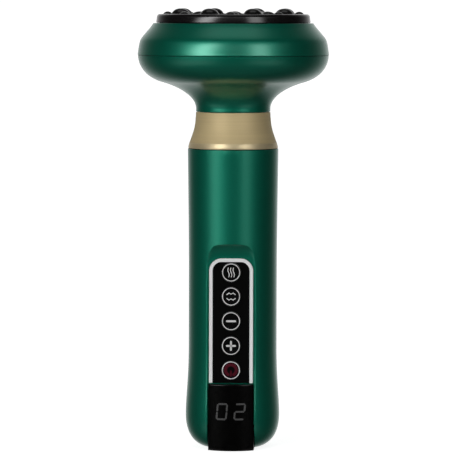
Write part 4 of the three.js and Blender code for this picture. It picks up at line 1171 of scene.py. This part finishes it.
def powerSymbol(z):
    radius, start, turn = powerSign["radius"], powerSign["arcStart"], powerSign["arcTurn"]
    middle = z + powerSign["lift"]

    def arcPoint(t):
        angle = math.radians(start + turn * t)
        return (radius * math.cos(angle), middle + radius * math.sin(angle))

    stem = [(0, z + powerSign["stemLow"]), (0, z + powerSign["stemHigh"])]
    arc = sampled(powerSign["points"], arcPoint)
    return [(arc, powerSign["arcWidth"]), (stem, powerSign["stemWidth"])]


symbols = {
    "power": powerSymbol, "plus": plusSymbol, "minus": minusSymbol, "mode": modeSymbol, "heat": heatSymbol,
}


def capOutline():
    front, radius, edge = keyCap["front"], keyCap["radius"], keyCap["edge"]
    flange, flangeFront, flangeBack = keyCap["flangeRadius"], keyCap["flangeFront"], keyCap["flangeBack"]
    stem, stemBack = keyCap["stemRadius"], keyCap["stemBack"]
    return roundedOutline([
        (0, front, 0), (radius, front, edge), (radius, flangeFront, 0),
        (flange, flangeFront + keyCap["flangeSlope"], 0), (flange, flangeBack, 0),
        (stem, flangeBack, 0), (stem, stemBack, 0), (0, stemBack, 0)])


def makeKeys():
    sunk = keyCap["front"] + keyCap["printSunk"]
    printed = keyCap["front"] - keyCap["printHeight"]
    inner, outer = keyCap["ringInner"], keyCap["ringOuter"]
    ring = [(inner, sunk), (inner, printed), (outer, printed), (outer, sunk)]
    for key, z in keyCap["heights"].items():
        body = "key_" + key
        makePiece(body, frontLathe(capOutline(), keyCap["sides"], 0, z), "panelBlack",
                  [body], body, smoothAngle=30)
        makePiece("ring_" + key, frontLathe(ring, keyCap["ringSides"], 0, z), "printWhite",
                  body=body, smoothAngle=30)
        strokes = [strokeMesh(line, width, printed, sunk - printed) for line, width in symbols[key](z)]
        makePiece("symbol_" + key, join(*strokes), "printRed" if key == "power" else "printWhite",
                  body=body, smoothAngle=30)


window = {
    "halfWidth": 10.6,
    "radius": 20.9,
    "top": 31.2,
    "edge": 0.35,
    "topEdge": 0.6,
    "corner": 1.2,
    "back": -17.5,
    "thinnest": 0.3,
    "footBack": -16.6,
    "footHigh": 7,
    "halfColumns": 24,
    "footRows": (0, 0.05, 0.12, 0.2, 0.28, 0.35),
    "plainRows": 29,
    "topRows": (0.8, 0.6, 0.5, 0.4, 0.3, 0.2, 0.12, 0.06, 0.02, 0),
}


def windowFront(x, z):
    # The window's front: a round surface that rolls off at the sides, top and bottom
    y = -math.sqrt(window["radius"] ** 2 - x ** 2)
    side, top = window["halfWidth"] - abs(x), window["top"] - z
    for distance, edge in ((side, window["edge"]), (top, window["topEdge"]), (z, window["edge"])):
        if distance < edge:
            y += edge - math.sqrt(max(0.0, edge ** 2 - (edge - distance) ** 2))
    return y


def windowBack(y, z):
    if z > window["footHigh"]:
        return max(window["back"], y + window["thinnest"])
    return window["footBack"]


def makeWindow():
    half, corner, steps = window["halfWidth"], window["corner"], window["halfColumns"]
    xs = [half * math.sin(math.pi / 2 * i / steps) for i in range(steps + 1)]
    xs = sorted(set([-x for x in xs] + xs))
    zs = [*window["footRows"], *range(1, window["plainRows"] + 1)]
    zs += [window["top"] - step for step in window["topRows"]]
    front = []
    for z in zs:
        narrowed = 1
        if z < corner:  # rounded lower corners
            narrowed = (half - corner + math.sqrt(corner ** 2 - (corner - z) ** 2)) / half
        front += [(x * narrowed, windowFront(x, z), z) for x in xs]
    points = front + [(x, windowBack(y, z), z) for x, y, z in front]
    behind, width = len(front), len(xs)
    faces = []
    for row in range(len(zs) - 1):
        for column in range(width - 1):
            face = gridFace(row, column, width)
            faces += [face, tuple(behind + i for i in (face[0], *reversed(face[1:])))]
    for low in range(width - 1):
        high = behind - width + low
        faces += [(low, behind + low, behind + low + 1, low + 1),
                  (high, high + 1, behind + high + 1, behind + high)]
    for left in range(0, behind - width, width):
        right, upper, upperRight = left + width - 1, left + width, left + 2 * width - 1
        faces += [(left, upper, behind + upper, behind + left),
                  (right, behind + right, behind + upperRight, upperRight)]
    makePiece("window", (points, faces), "smokedWindow", ["display_window"])


digits = {
    "low": 14.95,
    "high": 22.05,
    "slant": 0.094,
    "width": 4.4,
    "stroke": 0.82,
    "inset": 0.55,
    "raised": 0.02,
    "thick": 0.04,
    "starts": (-6.6, 1.7),
    "lit": ("abcdef", "abged"),  # segments, lettered from the top one round to the middle one
    "points": 5,
}


def digitStrokes(text, start):
    low, high, width, inset = digits["low"], digits["high"], digits["width"], digits["inset"]
    middle = (low + high) / 2

    def spot(x, z):
        return (start + x + digits["slant"] * (z - low), z)

    ends = {
        "a": (spot(inset, high), spot(width - inset, high)),
        "g": (spot(inset, middle), spot(width - inset, middle)),
        "d": (spot(inset, low), spot(width - inset, low)),
        "f": (spot(0, high - inset), spot(0, middle + inset)),
        "b": (spot(width, high - inset), spot(width, middle + inset)),
        "e": (spot(0, middle - inset), spot(0, low + inset)),
        "c": (spot(width, middle - inset), spot(width, low + inset)),
    }
    return [ends[segment] for segment in text]


def makeDigits():
    strokes = []
    for text, start in zip(digits["lit"], digits["starts"]):
        for first, last in digitStrokes(text, start):
            line = sampled(digits["points"], lambda t: partWay(first, last, (t, t)))
            strokes.append(strokeMesh(line, digits["stroke"], 0, digits["thick"]))
    points, faces = join(*strokes)
    points = [(x, windowFront(x, z) - digits["raised"] + y, z) for x, y, z in points]
    makePiece("digits", (points, faces), "dimDigit", smoothAngle=30)


makeFrame()
makePanelPlate()
makeKeys()
makeWindow()
makeDigits()
print("panel ready")


# Spring under the plunger of the release valve; the real spring shortens as the plunger comes down, but
# this coil is made at one length

spring = {
    "x": 26.0,
    "low": 173.32,
    "high": 177.08,
    "radius": 1.85,
    "wire": 0.22,
    "turns": 4.5,
    "endTurns": 0.75,
    "keep": 0.6,
    "sides": 8,
    "stepsPerTurn": 24,
}


def springHeight(turned):
    # The end turns lie on each other, and the turns between them rise evenly
    wire, turns, ends = spring["wire"], spring["turns"], spring["endTurns"]
    low, high = spring["low"] + wire, spring["high"] - wire
    share = min(1.0, max(0.0, (turned - ends) / (turns - 2 * ends)))
    rise = 2 * wire * (min(turned, ends) + max(0.0, turned - turns + ends))
    return low + rise + (high - low - 4 * wire * ends) * share


def makeSpring():
    wire, sides, perTurn = spring["wire"], spring["sides"], spring["stepsPerTurn"]
    count = int(spring["turns"] * perTurn) + 1
    points = []
    for i in range(count):
        angle, height = 2 * math.pi * i / perTurn, springHeight(i / perTurn)
        for side in range(sides):
            around = 2 * math.pi * side / sides
            radius = spring["radius"] + wire * math.cos(around)
            x, y = spring["x"] + radius * math.cos(angle), radius * math.sin(angle)
            points.append((x, y, height + wire * math.sin(around)))
    coil = (points, tubeFaces(count, sides))
    piece = makePiece("valveSpring", coil, "zincSteel", ["valve_spring"])
    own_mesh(piece)


makeSpring()
print("valve spring ready")


# CAD nodes that keep their own shape get a finer finish by their material slot

slotFinishes = {
    "foot_black": "footBlack",
    "inner_plastic": "innerPlastic",
    "steel": "zincSteel",
    "motor_metal": "drawnCan",
    "heater_metal": "heaterPlate",
    "circuit_board": "boardGreen",
    "cell_wrap": "cellWrap",
    "soft_rubber": "softRubber",
    "silicone": "silicone",
}


def dressNodes():
    slots = {entry["node"]: entry["material_slot"] for entry in frame["record"]["subparts"]}
    dressed = 0
    for name, obj in nodes.items():
        if obj.hide_render:
            continue
        obj.data.materials.clear()
        obj.data.materials.append(materials[slotFinishes[slots[name]]])
        dressed += 1
    return dressed


print("inner nodes dressed:", dressNodes())
